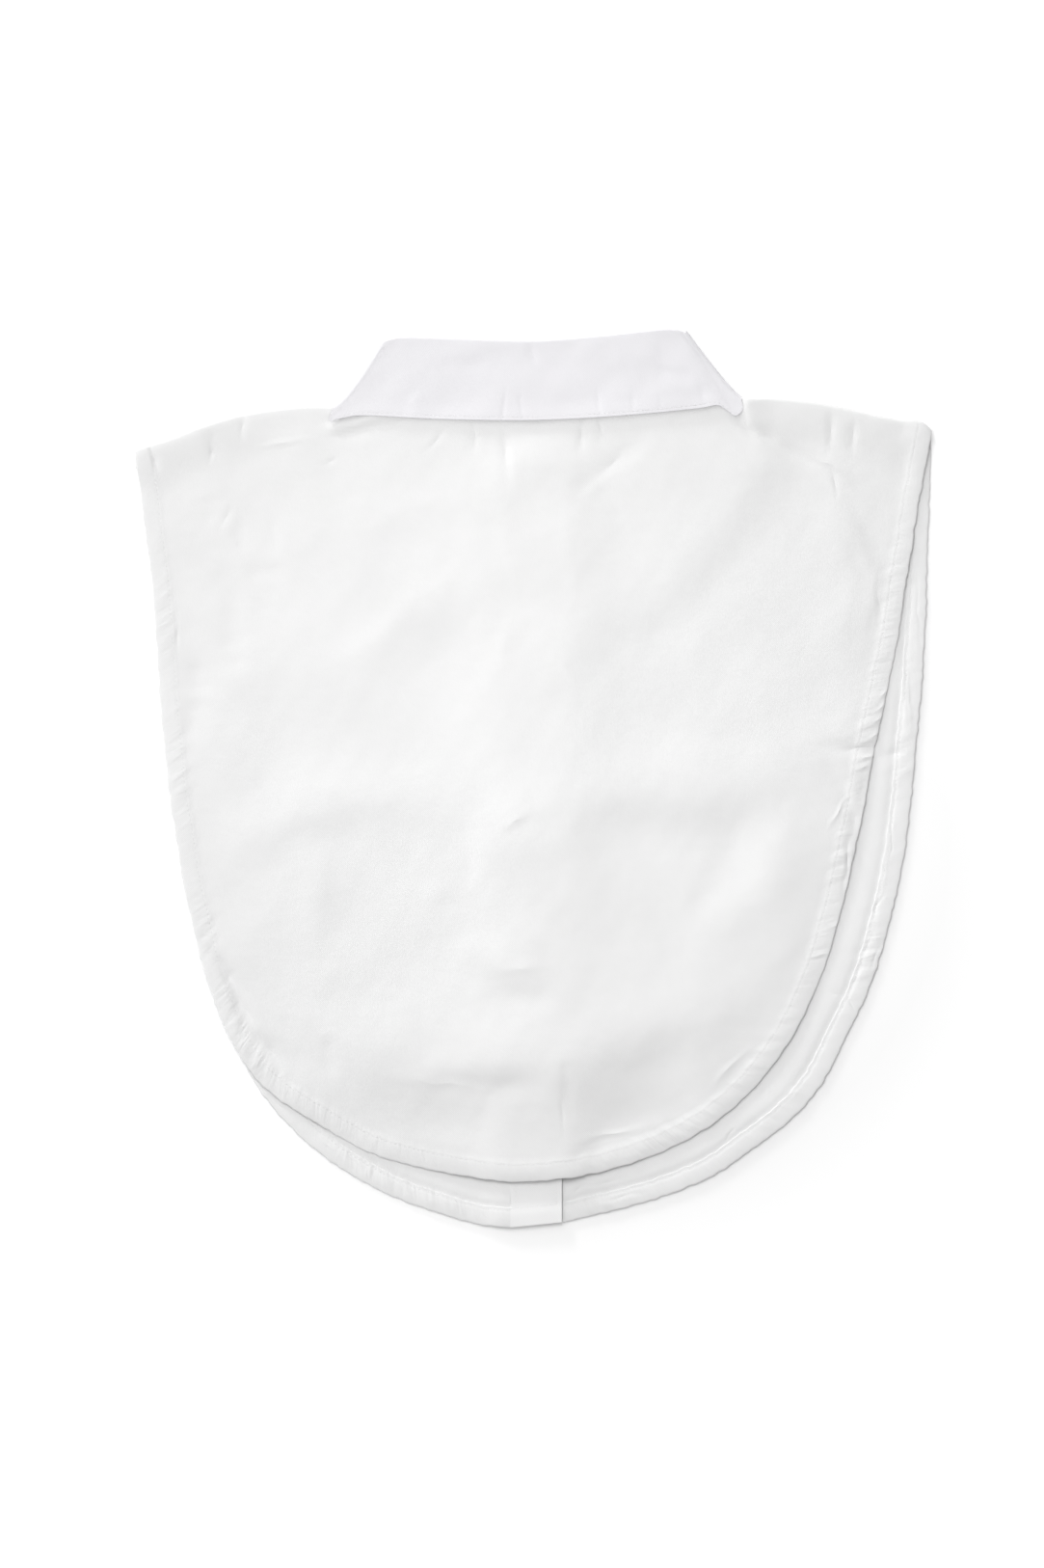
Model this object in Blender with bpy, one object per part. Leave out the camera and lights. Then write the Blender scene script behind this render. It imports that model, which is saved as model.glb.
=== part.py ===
"""Detachable shirt collar of white cotton, with short front and back panels, laid flat back uppermost.

Sizes are in millimetres and MM turns them to metres. X runs across the collar, Y from the hem up to
the collar, and Z up from the surface that the cloth lies on. The origin is under the middle of it all.
Left is the wearer's left, which lies at -X here because the back faces up.
"""

import math
from typing import NamedTuple

import bmesh
import bpy
import numpy as np
from mathutils import Vector
from mathutils.geometry import delaunay_2d_cdt

MM = 0.001

# Walls and the air between them
CLOTH = 1.0
BAND = 1.1
COLLAR = 1.2
GAP = 0.3
HEM_WIDTH = 10.0
HEM_RAISE = 0.6
HEM_STEP = 1.2
MESH = 14.0

# Front closing, with the band of the wearer's left front over the other as seen from the back
CENTRE_FRONT = 1.25
BAND_LEFT = -12.25
BAND_RIGHT = 14.75
BAND_CLIMB = 22.0
BAND_HEMS = {"left_band": (-232.6, -229.9), "right_band": (-231.4, -228.7)}

# Buttons, face down on the table
BUTTON_RADIUS = 5.7
BUTTON_THICK = 1.8
COLLAR_BUTTON_Y = 145.0
PLACKET_BUTTONS_Y = (63.75, -18.75, -101.25, -183.75)

# How far the layers below lift the front and, more widely, the back panel
LEAF_LIFT = COLLAR + GAP
BUTTON_LIFT = BUTTON_THICK + GAP
BACK_BUTTON_LIFT = BUTTON_LIFT + 0.2
BACK_LIFT = CLOTH + HEM_RAISE + GAP
PLACKET_RISE = 2 * BAND + 2 * GAP + 0.1 - BACK_LIFT

# Collar ring, flattened: middle heights of the stand and the leaf in the front and back layers
STAND_BACK_Z = 3.9
LEAF_FRONT_Z = COLLAR / 2
LEAF_BACK_Z = STAND_BACK_Z + COLLAR + GAP
STAND_LAP = COLLAR + GAP
NECK_LOW = 131.0
NECK_CURVE = 1.35
FOLD_LOW = 159.0
FOLD_CURVE = 1.5
LEAF_FROM_CENTRE = 6.5
STAND_END_HEIGHTS = (0.62, 0.9)
TURN_STEPS = 6
LEAST_SLANT = 0.3
TURN_SLANT = 0.4

# Shoulders, where the back panel rolls over the top edge to a seam under it
SHOULDER_LIFT = 1.7
SHOULDER_FALL = 25.0
SEAM_UNDER = 8.0
ROLL_STEPS = 6


class Corner(NamedTuple):
    """Side of the neck, where the collar turns from the back layer to the front one."""

    seam: tuple
    fold: tuple
    knee: tuple
    edge: tuple


LEFT = Corner(seam=(-95.75, 191.0), fold=(-77.6, 225.2), knee=(-97.0, 192.8), edge=(-104.2, 191.4))
RIGHT = Corner(seam=(99.0, 195.0), fold=(78.0, 230.2), knee=(102.8, 196.2), edge=(107.6, 195.9))
BACK_NECK = ((LEFT.seam[0], LEFT.seam[1]), (0.75, 197.0), (RIGHT.seam[0], RIGHT.seam[1]))


class LeafLine(NamedTuple):
    """A line down the back of the leaf, from its fold over a knee to its edge."""

    fold_x: float
    fold_y: float
    knee_x: float
    knee_y: float
    edge_x: float
    edge_y: float


LEAF_BACK = (
    LeafLine(-77.0, 225.7, -97.0, 191.6, -105.4, 188.2),
    LeafLine(-75.6, 226.3, -94.8, 195.5, -105.4, 185.0),
    LeafLine(-73.0, 226.9, -87.5, 205.0, -99.0, 186.7),
    LeafLine(-66.0, 227.6, -76.5, 207.8, -87.0, 188.0),
    LeafLine(-36.0, 226.6, -41.5, 206.3, -47.0, 186.1),
    LeafLine(0.0, 225.7, 0.0, 205.7, 0.0, 185.6),
    LeafLine(36.0, 228.4, 40.0, 207.7, 45.0, 187.9),
    LeafLine(66.0, 231.6, 75.0, 211.6, 84.0, 191.6),
    LeafLine(73.5, 231.4, 84.5, 212.2, 94.8, 193.3),
    LeafLine(75.8, 231.1, 92.0, 207.0, 100.0, 190.8),
    LeafLine(76.9, 230.8, 99.0, 200.0, 104.6, 187.8),
    LeafLine(77.6, 230.5, 102.4, 195.6, 108.4, 191.4),
)
LEAF_FRONT_LEFT = ((-104.0, 182.0), (-93.0, 160.0), (-70.0, 127.0), (-38.0, 96.0))
LEAF_FRONT_RIGHT = ((107.0, 187.0), (95.5, 164.0), (72.5, 129.0), (40.5, 96.5))

# Outlines as (x, y): shoulders from the tip to the neck, hems from the left tip round the bottom
LEFT_SHOULDER = (
    (-206.5, 170.7), (-186.8, 177.3), (-171.8, 183.2), (-156.8, 187.7), (-141.8, 190.8),
    (-126.8, 192.6), (-111.8, 192.8), (-98.3, 192.6),
)
RIGHT_SHOULDER = (
    (206.2, 180.6), (203.2, 183.6), (188.2, 186.8), (173.2, 189.8), (158.2, 193.2), (143.2, 195.8),
    (128.2, 197.3), (113.2, 197.3), (101.4, 196.9),
)
BACK_HEM = (
    (-206.5, 168.4), (-202.6, 138.0), (-197.4, 97.0), (-194.2, 49.0), (-190.0, 3.0), (-183.5, -42.0),
    (-174.3, -86.0), (-159.0, -131.0), (-143.0, -156.5), (-112.0, -178.8), (-82.0, -195.0),
    (-52.0, -202.9), (-8.0, -208.7), (38.0, -202.9), (68.0, -192.8), (98.0, -175.3), (128.0, -143.3),
    (149.5, -101.3), (162.5, -56.0), (172.0, -11.0), (177.6, 19.0), (187.2, 64.0), (194.3, 109.0),
    (201.6, 154.0), (206.2, 178.2),
)
LEFT_FRONT_HEM = (
    (-205.0, 160.6), (-201.2, 138.0), (-196.0, 97.0), (-192.6, 49.0), (-188.5, 3.0), (-182.0, -42.0),
    (-172.8, -86.0), (-157.8, -131.0), (-142.3, -161.0), (-112.0, -193.2), (-82.0, -212.3),
    (-52.0, -224.3), (-24.0, -231.6), (-12.55, -232.6),
)
RIGHT_FRONT_HEM = (
    (15.05, -230.2), (43.0, -223.4), (68.0, -216.3), (94.0, -205.3), (114.8, -191.0), (134.8, -175.6),
    (147.3, -161.2), (163.3, -131.5), (177.0, -101.0), (185.4, -71.0), (192.0, -41.0), (196.0, -8.0),
    (199.6, 30.0), (202.2, 60.0), (203.8, 100.0), (205.0, 140.0), (206.2, 170.0),
)


class Fold(NamedTuple):
    """A soft ridge in the back panel between two points, with its half width and height."""

    start: tuple
    end: tuple
    half_width: float
    height: float


BACK_FOLDS = (
    Fold(start=(-106.0, 54.0), end=(-37.0, 114.0), half_width=18.0, height=1.3),
    Fold(start=(-87.0, 124.0), end=(-37.0, 144.0), half_width=14.0, height=0.9),
    Fold(start=(-142.0, -24.0), end=(-57.0, -11.0), half_width=14.0, height=1.1),
    Fold(start=(-19.0, -36.0), end=(30.0, -15.0), half_width=14.0, height=0.8),
    Fold(start=(30.0, -15.0), end=(142.0, 3.0), half_width=22.0, height=1.4),
    Fold(start=(138.0, -16.0), end=(98.0, -96.0), half_width=16.0, height=1.1),
    Fold(start=(-112.0, -40.0), end=(-110.0, -98.0), half_width=14.0, height=0.8),
    Fold(start=(-104.0, -136.0), end=(8.0, -160.0), half_width=18.0, height=1.2),
    Fold(start=(8.0, -160.0), end=(76.0, -140.0), half_width=18.0, height=1.0),
    Fold(start=(112.0, 168.0), end=(152.0, 154.0), half_width=14.0, height=0.8),
    Fold(start=(152.0, 154.0), end=(176.0, 96.0), half_width=14.0, height=1.0),
)
FOLDS_END_Y = 182.0


class Cloth(NamedTuple):
    """Colour and roughness of a piece."""

    colour: tuple
    roughness: float


PANEL_WHITE = Cloth(colour=(0.86, 0.86, 0.86), roughness=0.9)
COLLAR_WHITE = Cloth(colour=(0.85, 0.85, 0.87), roughness=0.88)
BAND_WHITE = Cloth(colour=(0.84, 0.84, 0.84), roughness=0.9)
BUTTON_WHITE = Cloth(colour=(0.9, 0.9, 0.88), roughness=0.35)


def clear_scene():
    """Removes the objects that the scene starts with."""
    for thing in list(bpy.data.objects):
        bpy.data.objects.remove(thing, do_unlink=True)


def ease(share):
    """A smooth step from 0 to 1."""
    share = np.clip(share, 0.0, 1.0)
    return share * share * (3.0 - 2.0 * share)


def swell(distance, flat, reach):
    """1 up to the distance flat, then a smooth fall to 0 at reach."""
    return 1.0 - ease((distance - flat) / (reach - flat))


def blend_lifts(*lifts):
    """The higher of several lifts, rounded where they are alike."""
    return sum(lift**4 for lift in lifts) ** 0.25


def through(knots, values, at):
    """Reads a smooth curve through the values at the knots."""
    values = np.asarray(values, float)
    slopes = np.gradient(values, knots, axis=0)
    piece = np.clip(np.searchsorted(knots, at, side="right") - 1, 0, len(knots) - 2)
    length = (knots[piece + 1] - knots[piece])[:, None]
    share = (at - knots[piece])[:, None] / length
    start, end = values[piece], values[piece + 1]
    leave, arrive = slopes[piece] * length, slopes[piece + 1] * length
    cubic = share * share * (3.0 - 2.0 * share)
    ramp = share * (1.0 - share)
    return start + (end - start) * cubic + ramp * (1.0 - share) * leave - ramp * share * arrive


def smooth_curve(points, step=None, count=None):
    """Evenly spaced points on a smooth curve, about step apart or count in all."""
    points = np.asarray(points, float)
    knots = np.concatenate([[0.0], np.cumsum(np.linalg.norm(np.diff(points, axis=0), axis=1))])
    fine = through(knots, points, np.linspace(0.0, knots[-1], 40 * len(points)))
    run = np.concatenate([[0.0], np.cumsum(np.linalg.norm(np.diff(fine, axis=0), axis=1))])
    if count is None:
        count = max(2, round(run[-1] / step) + 1)
    at = np.linspace(0.0, run[-1], count)
    return np.stack([np.interp(at, run, fine[:, 0]), np.interp(at, run, fine[:, 1])], axis=1)


def distance_to_line(points, line):
    """Distance of each point from a chain of segments."""
    starts, spans = line[:-1], np.diff(line, axis=0)
    offsets = points[:, None, :] - starts[None]
    along = np.clip((offsets * spans).sum(2) / (spans**2).sum(1), 0.0, 1.0)
    return np.linalg.norm(offsets - along[..., None] * spans, axis=2).min(axis=1)


def inside(points, outline):
    """Which points lie inside a closed outline."""
    ends = np.roll(outline, -1, axis=0)
    x, y = points[:, :1], points[:, 1:]
    spans = (outline[:, 1] > y) != (ends[:, 1] > y)
    rise = np.where(ends[:, 1] == outline[:, 1], 1.0, ends[:, 1] - outline[:, 1])
    crossing = outline[:, 0] + (y - outline[:, 1]) / rise * (ends[:, 0] - outline[:, 0])
    return (spans & (x < crossing)).sum(axis=1) % 2 == 1


def front_scoop(x, low, curve, left, right):
    """Height of a curve that is lowest at the centre front and rises to a corner on each side."""
    across = np.asarray(x, float) - CENTRE_FRONT
    half = np.where(across < 0.0, CENTRE_FRONT - left[0], right[0] - CENTRE_FRONT)
    rise = np.where(across < 0.0, left[1], right[1]) - low
    return low + rise * (np.abs(across) / half) ** curve


def front_neck(x):
    """Height in Y of the front neck seam."""
    return front_scoop(x, NECK_LOW, NECK_CURVE, LEFT.seam, RIGHT.seam)


def front_neck_x(y, corner):
    """Place in X of the front neck seam at a height, on one side."""
    share = ((y - NECK_LOW) / (corner.seam[1] - NECK_LOW)) ** (1.0 / NECK_CURVE)
    return CENTRE_FRONT + (corner.seam[0] - CENTRE_FRONT) * share


def front_fold(x):
    """Height in Y of the leaf's fold in the front layer."""
    return front_scoop(x, FOLD_LOW, FOLD_CURVE, LEFT.fold, RIGHT.fold)


def back_neck(x):
    """Height in Y of the back neck seam, an arc through three points."""
    spots = np.array(BACK_NECK)
    return np.polyval(np.polyfit(spots[:, 0], spots[:, 1], 2), x)


def leaf_front_lines(corner, edge_points, count):
    """Fold, knee and edge of the leaf in the front layer, from the corner to its front edge."""
    side = math.copysign(1.0, corner.seam[0])
    share = np.linspace(0.0, 1.0, count)[:, None]
    last_x = CENTRE_FRONT + side * LEAF_FROM_CENTRE
    fold_x = corner.fold[0] + (last_x - corner.fold[0]) * share[:, 0]
    fold = np.stack([fold_x, front_fold(fold_x)], axis=1)
    edge = smooth_curve((corner.edge,) + edge_points, count=count)
    bend = np.array(corner.knee) - (np.array(corner.fold) + np.array(corner.edge)) / 2
    knee = (fold + edge) / 2 + bend * (1.0 - share) ** 5
    return fold, knee, edge


def leaf_back_lines(pieces):
    """Fold, knee and edge of the leaf in the back layer, from the left corner to the right one."""
    rows = [LEFT.fold + LEFT.knee + LEFT.edge, *LEAF_BACK, RIGHT.fold + RIGHT.knee + RIGHT.edge]
    knots = np.arange(len(rows), dtype=float)
    at = np.linspace(0.0, knots[-1], (len(rows) - 1) * pieces + 1)
    table = through(knots, rows, at)
    return table[:, 0:2], table[:, 2:4], table[:, 4:6]


def leaf_outline(corner, edge_points):
    """The area of one leaf front, which lies on the table under the panels."""
    fold, _, edge = leaf_front_lines(corner, edge_points, 12)
    return np.concatenate([fold, edge[::-1]])


def button_places():
    """Centres of the buttons, the collar's first."""
    return [(CENTRE_FRONT, y) for y in (COLLAR_BUTTON_Y, *PLACKET_BUTTONS_Y)]


def lift_over(x, y, leaf_flat, leaf_reach, button_lift, button_flat, button_reach):
    """Lift of a layer by the leaf fronts and the buttons under it."""
    points = np.stack([np.ravel(x), np.ravel(y)], axis=1)
    away = np.full(len(points), np.inf)
    for corner, edge_points in ((LEFT, LEAF_FRONT_LEFT), (RIGHT, LEAF_FRONT_RIGHT)):
        outline = leaf_outline(corner, edge_points)
        outside = distance_to_line(points, np.concatenate([outline, outline[:1]]))
        away = np.minimum(away, np.where(inside(points, outline), 0.0, outside))
    leaf = LEAF_LIFT * swell(away, leaf_flat, leaf_reach)
    clear = np.ones(len(points))
    for place in button_places():
        clear *= 1.0 - swell(np.linalg.norm(points - place, axis=1), button_flat, button_reach)
    return blend_lifts(leaf, button_lift * (1.0 - clear)).reshape(np.shape(x))


def front_lift(x, y):
    """Height of the underside of the front layer."""
    return lift_over(x, y, 8.0, 28.0, BUTTON_LIFT, 8.0, 24.0)


def wide_lift(x, y):
    """Lift of the back panel, softer than the front layer's and nowhere below it."""
    return lift_over(x, y, 14.0, 40.0, BACK_BUTTON_LIFT, 16.0, 45.0)


def folds_height(x, y):
    """Height of the soft ridges in the back panel."""
    points = np.stack([np.ravel(x), np.ravel(y)], axis=1)
    ridges = []
    for fold in BACK_FOLDS:
        away = distance_to_line(points, np.array([fold.start, fold.end]))
        ridges.append(fold.height * np.exp(-((away / fold.half_width) ** 2)))
    return (blend_lifts(*ridges) * ease((FOLDS_END_Y - points[:, 1]) / 25.0)).reshape(np.shape(x))


class Shoulder:
    """Top edge of one side, where the back panel rolls over to its seam with the front."""

    def __init__(self, outline, corner):
        """Reads the rolled edge from the outline and the heights of the two layers."""
        self.corner = corner
        self.outline = np.array(sorted(outline))

    def top(self, x):
        """Outermost Y of the rolled edge."""
        return through(self.outline[:, 0], self.outline[:, 1:], np.asarray(x, float))[:, 0]

    def lift(self, x):
        """Extra height of the back panel at the roll, none beside the neck."""
        return SHOULDER_LIFT * (1.0 - wide_lift(x, self.top(x) - 2.0) / LEAF_LIFT)

    def low(self, x):
        """Middle height of the wall under the roll."""
        return front_lift(x, self.top(x) - 2.0) + CLOTH / 2

    def high(self, x):
        """Middle height of the wall over the roll."""
        return wide_lift(x, self.top(x) - 2.0) + BACK_LIFT + CLOTH / 2 + self.lift(x)

    def radius(self, x):
        """Radius of the middle of the rolled wall."""
        return (self.high(x) - self.low(x)) / 2

    def line(self, x):
        """Y of the line that the wall rolls round."""
        return self.top(x) - self.radius(x) - CLOTH / 2

    def under(self, x, back):
        """Points under the roll, back from its line, slanted beside the neck to follow the neck seam."""
        y = self.line(x) - back
        nearness = swell(np.abs(x - self.outline_neck_x()), 0.0, 40.0)
        return x + (front_neck_x(y, self.corner) - self.corner.seam[0]) * nearness, y

    def outline_neck_x(self):
        """X where the roll ends beside the neck."""
        return self.outline[0, 0] if self.corner is RIGHT else self.outline[-1, 0]


LEFT_ROLL = Shoulder(LEFT_SHOULDER, LEFT)
RIGHT_ROLL = Shoulder(RIGHT_SHOULDER, RIGHT)


def even(start, end, step, extra=()):
    """Numbers from start to end about step apart, with the extra ones worked in."""
    stops = [start, *extra, end]
    numbers = [start]
    for here, there in zip(stops, stops[1:]):
        count = max(1, round(abs(there - here) / step))
        numbers.extend(np.linspace(here, there, count + 1)[1:])
    return np.array(numbers)


def hem_rows(hem):
    """The two lines of the hem's step, set in from the hemmed edge."""
    along = np.gradient(hem, axis=0)
    inward = np.stack([-along[:, 1], along[:, 0]], axis=1) / np.linalg.norm(along, axis=1)[:, None]
    rows = []
    for depth in (HEM_WIDTH - HEM_STEP / 2, HEM_WIDTH + HEM_STEP / 2):
        rows.append((hem + inward * depth)[1:-1])
    return rows


def hem_height(points, hem):
    """Extra thickness of the hem, with a short step at its inner edge."""
    above = np.array([[hem[0, 0], hem[0, 1] + 30.0]])
    beyond = np.array([[hem[-1, 0], hem[-1, 1] + 30.0]]) if hem[-1, 1] > 0.0 else hem[-1:]
    start = above if hem[0, 1] > 0.0 else hem[:1]
    line = np.concatenate([start, hem, beyond])
    line = line[np.concatenate([[True], np.linalg.norm(np.diff(line, axis=0), axis=1) > 0.0])]
    step = (distance_to_line(points, line) - HEM_WIDTH + HEM_STEP / 2) / HEM_STEP
    return HEM_RAISE * (1.0 - np.clip(step, 0.0, 1.0))


def lattice(low, high):
    """A triangular pattern of points, the same for every panel so that their facets lie alike."""
    rise = MESH * math.sqrt(3.0) / 2
    spots = []
    for row in range(math.floor(low[1] / rise), math.ceil(high[1] / rise) + 1):
        for column in range(math.floor(low[0] / MESH) - 1, math.ceil(high[0] / MESH) + 1):
            spots.append(((column + 0.5 * (row % 2)) * MESH, row * rise))
    return np.array(spots)


def fill(border, rows):
    """Triangles within a border, with rows of points kept along inner lines."""
    spots = lattice(border.min(axis=0), border.max(axis=0))
    spots = spots[inside(spots, border)]
    for line in (np.concatenate([border, border[:1]]), *rows):
        spots = spots[distance_to_line(spots, line) > 0.5 * MESH]
    if len(rows) == 2:
        hem_middle = (rows[0] + rows[1]) / 2
        spots = spots[distance_to_line(spots, hem_middle) > 0.6 * MESH]
    points = [*border]
    edges = []
    for row in rows:
        kept = row[inside(row, border) & (distance_to_line(row, np.concatenate([border, border[:1]])) > 2.0)]
        edges += [(len(points) + k, len(points) + k + 1) for k in range(len(kept) - 1)]
        points += [*kept]
    points += [*spots]
    flat = [Vector((float(x), float(y))) for x, y in points]
    made, _, faces, _, _, _ = delaunay_2d_cdt(flat, edges, [list(range(len(border)))], 1, 1e-5)
    return np.array([tuple(point) for point in made]), [tuple(face) for face in faces]


def paint(cloth, name):
    """A plain material of a piece's colour and roughness."""
    material = bpy.data.materials.new(name)
    material.use_nodes = True
    shader = material.node_tree.nodes["Principled BSDF"]
    shader.inputs["Base Color"].default_value = (*cloth.colour, 1.0)
    shader.inputs["Roughness"].default_value = cloth.roughness
    shader.inputs["Metallic"].default_value = 0.0
    return material


def add_object(name, solid, cloth):
    """Turns a bmesh into a named object with its material."""
    bmesh.ops.recalc_face_normals(solid, faces=solid.faces)
    mesh = bpy.data.meshes.new(name)
    solid.to_mesh(mesh)
    solid.free()
    mesh.materials.append(paint(cloth, name + "_finish"))
    mesh.shade_smooth()
    mesh.set_sharp_from_angle(angle=math.radians(40.0))
    thing = bpy.data.objects.new(name, mesh)
    bpy.context.scene.collection.objects.link(thing)
    return thing


def add_shell(name, inner, outer, faces, cloth):
    """A closed wall between two skins whose points share the same faces."""
    solid = bmesh.new()
    under = [solid.verts.new(point) for point in inner * MM]
    over = [solid.verts.new(point) for point in outer * MM]
    directed = set()
    for face in faces:
        solid.faces.new([over[k] for k in face])
        solid.faces.new([under[k] for k in reversed(face)])
        directed.update(zip(face, face[1:] + face[:1]))
    for start, end in directed:
        if (end, start) not in directed:
            solid.faces.new((over[end], over[start], under[start], under[end]))
    return add_object(name, solid, cloth)


def grid_faces(rows, columns):
    """Triangles of a grid whose points are numbered row by row, all cut the same way."""
    faces = []
    for row in range(rows - 1):
        for column in range(columns - 1):
            first = row * columns + column
            last = first + columns + 1
            faces += [(first, first + columns, last), (first, last, first + 1)]
    return faces


def add_grid_wall(name, middle, thickness, cloth):
    """A wall on both sides of a grid of middle points."""
    normal = np.cross(np.gradient(middle, axis=0), np.gradient(middle, axis=1))
    normal /= np.linalg.norm(normal, axis=2)[..., None]
    inner = (middle - normal * thickness / 2).reshape(-1, 3)
    outer = (middle + normal * thickness / 2).reshape(-1, 3)
    return add_shell(name, inner, outer, grid_faces(*middle.shape[:2]), cloth)


def placket_rise(x, y):
    """Lift of the back panel over the two bands, gone above the stand's lapped ends."""
    return PLACKET_RISE * swell(np.abs(x - CENTRE_FRONT), 15.0, 42.0) * ease((184.0 - y) / 24.0)


def back_underside(x, y, roll_lift, roll_line):
    """Height of the underside of the back panel before its roll."""
    near_roll = ease(1.0 - (roll_line - y) / SHOULDER_FALL)
    return wide_lift(x, y) + BACK_LIFT + placket_rise(x, y) + folds_height(x, y) + roll_lift * near_roll


def make_back_panel():
    """Back panel in one piece, hemmed round its free edge and rolled over both shoulders."""
    hem = smooth_curve(BACK_HEM, step=MESH)
    rows = hem_rows(hem)
    inset = (HEM_WIDTH - HEM_STEP / 2, HEM_WIDTH + HEM_STEP / 2)
    left_x = even(LEFT_SHOULDER[-1][0], hem[0, 0], MESH, [hem[0, 0] + depth for depth in reversed(inset)])
    right_x = even(hem[-1, 0], RIGHT_SHOULDER[-1][0], MESH, [hem[-1, 0] - depth for depth in inset])
    neck_x = even(RIGHT.seam[0] - GAP, LEFT.seam[0] + GAP, MESH)
    border = np.concatenate([
        hem[1:-1],
        np.stack([right_x, RIGHT_ROLL.line(right_x)], axis=1),
        np.stack([neck_x, back_neck(neck_x) - GAP], axis=1),
        np.stack([left_x, LEFT_ROLL.line(left_x)], axis=1),
    ])
    flat, faces = fill(border, rows)
    roll_lift = np.zeros(len(flat))
    roll_line = np.full(len(flat), 1000.0)
    for roll, side in ((LEFT_ROLL, flat[:, 0] < LEFT.seam[0]), (RIGHT_ROLL, flat[:, 0] > RIGHT.seam[0])):
        roll_lift[side] = roll.lift(flat[side, 0])
        roll_line[side] = roll.line(flat[side, 0])
    low = back_underside(flat[:, 0], flat[:, 1], roll_lift, roll_line)
    inner = [np.column_stack([flat, low])]
    outer = [np.column_stack([flat, low + CLOTH + hem_height(flat, hem)])]
    count = len(flat)
    first_right = len(hem) - 2
    first_left = first_right + len(right_x) + len(neck_x)
    for roll, first, across in ((RIGHT_ROLL, first_right, right_x), (LEFT_ROLL, first_left, left_x)):
        before = [first + k for k in range(len(across))]
        raise_here = hem_height(np.column_stack([across, roll.line(across)]), hem)
        for inner_row, outer_row in rolled_rows(roll, across, raise_here):
            inner.append(inner_row)
            outer.append(outer_row)
            here = [count + k for k in range(len(across))]
            count += len(across)
            for k in range(len(across) - 1):
                faces.append((before[k], here[k], here[k + 1], before[k + 1]))
            before = here
    add_shell("back_panel", np.concatenate(inner), np.concatenate(outer), oriented(faces), PANEL_WHITE)


def oriented(faces):
    """The faces with every quad turned to run the same way as its neighbours."""
    directed = {pair for face in faces if len(face) == 3 for pair in zip(face, face[1:] + face[:1])}
    result = [face for face in faces if len(face) == 3]
    for face in (face for face in faces if len(face) == 4):
        pairs = list(zip(face, face[1:] + face[:1]))
        if any(pair in directed for pair in pairs):
            face = tuple(reversed(face))
            pairs = list(zip(face, face[1:] + face[:1]))
        directed.update(pairs)
        result.append(face)
    return result


def rolled_rows(roll, across, raise_here):
    """Inner and outer points of the wall round a shoulder's roll and on to the seam under it."""
    low, high, radius, line = roll.low(across), roll.high(across), roll.radius(across), roll.line(across)
    for step in range(1, ROLL_STEPS + 1):
        angle = math.pi * step / ROLL_STEPS
        out, up = math.sin(angle), math.cos(angle)
        thick = CLOTH / 2 + raise_here * max(0.0, up)
        skins = []
        for reach in (radius - CLOTH / 2, radius + thick):
            skins.append(np.column_stack([across, line + out * reach, (low + high) / 2 + up * reach]))
        yield skins[0], skins[1]
    for back in (SEAM_UNDER / 2, SEAM_UNDER):
        x, y = roll.under(across, back)
        floor = front_lift(x, y)
        yield np.column_stack([x, y, floor + CLOTH]), np.column_stack([x, y, floor])


def band_climb(x):
    """Share of the climb of the left front up to its band, which lies over the other."""
    return ease((x - BAND_LEFT + BAND_CLIMB) / (BAND_CLIMB - 2.0))


def make_front(name, hem_points, roll, seam_x, climb):
    """One front panel, from the seam under the shoulder to the hem and across to its band."""
    hem = smooth_curve(hem_points, step=MESH)
    side = math.copysign(1.0, seam_x)
    tip = hem[0] if side < 0.0 else hem[-1]
    neck_end = roll.outline_neck_x()
    across = even(neck_end, tip[0], MESH)
    seam = np.column_stack(roll.under(across, SEAM_UNDER + GAP))
    seam[-1, 0] = tip[0]
    down = even(front_neck(seam_x) - GAP, (hem[-1] if side < 0.0 else hem[0])[1], MESH)
    band_seam = np.column_stack([np.full(len(down), seam_x), down])
    neck_x = even(seam[0, 0], seam_x, MESH)[1:-1]
    neck = np.column_stack([neck_x, front_neck(neck_x) - 1.5 * GAP])
    if side < 0.0:
        border = np.concatenate([seam, hem[1:-1], band_seam[::-1], neck[::-1]])
    else:
        border = np.concatenate([hem[1:-1], seam[::-1], neck, band_seam])
    flat, faces = fill(border, hem_rows(hem))
    low = front_lift(flat[:, 0], flat[:, 1]) + climb * band_climb(flat[:, 0])
    inner = np.column_stack([flat, low])
    outer = np.column_stack([flat, low + CLOTH + hem_height(flat, hem)])
    add_shell(name, inner, outer, faces, PANEL_WHITE)


def make_band(name, rise):
    """One band of the front closing, with rows close together over each button."""
    rows = []
    for _, y in button_places():
        rows += [y + step for step in (24.0, 18.0, 13.0, 8.0, -8.0, -13.0, -18.0, -24.0)]
    columns = even(BAND_LEFT, BAND_RIGHT, 7.0)
    start, end = BAND_HEMS[name]
    bottom = start + (end - start) * (columns - BAND_LEFT) / (BAND_RIGHT - BAND_LEFT)
    top = front_neck(columns) - GAP
    heights = [y for y in rows if y < NECK_LOW - 4.0]
    middle = bottom.mean()
    grid = [np.stack([columns, top], axis=1)]
    for y in heights:
        grid.append(np.stack([columns, np.full(len(columns), y)], axis=1))
    for share in (0.5, 0.0):
        y = bottom + share * (heights[-1] - middle)
        grid.append(np.stack([columns, y], axis=1))
    flat = np.array(grid)
    low = front_lift(flat[..., 0], flat[..., 1]) + rise
    inner = np.concatenate([flat, low[..., None]], axis=2).reshape(-1, 3)
    outer = inner + np.array([0.0, 0.0, BAND])
    add_shell(name, inner, outer, grid_faces(*flat.shape[:2]), BAND_WHITE)


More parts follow.
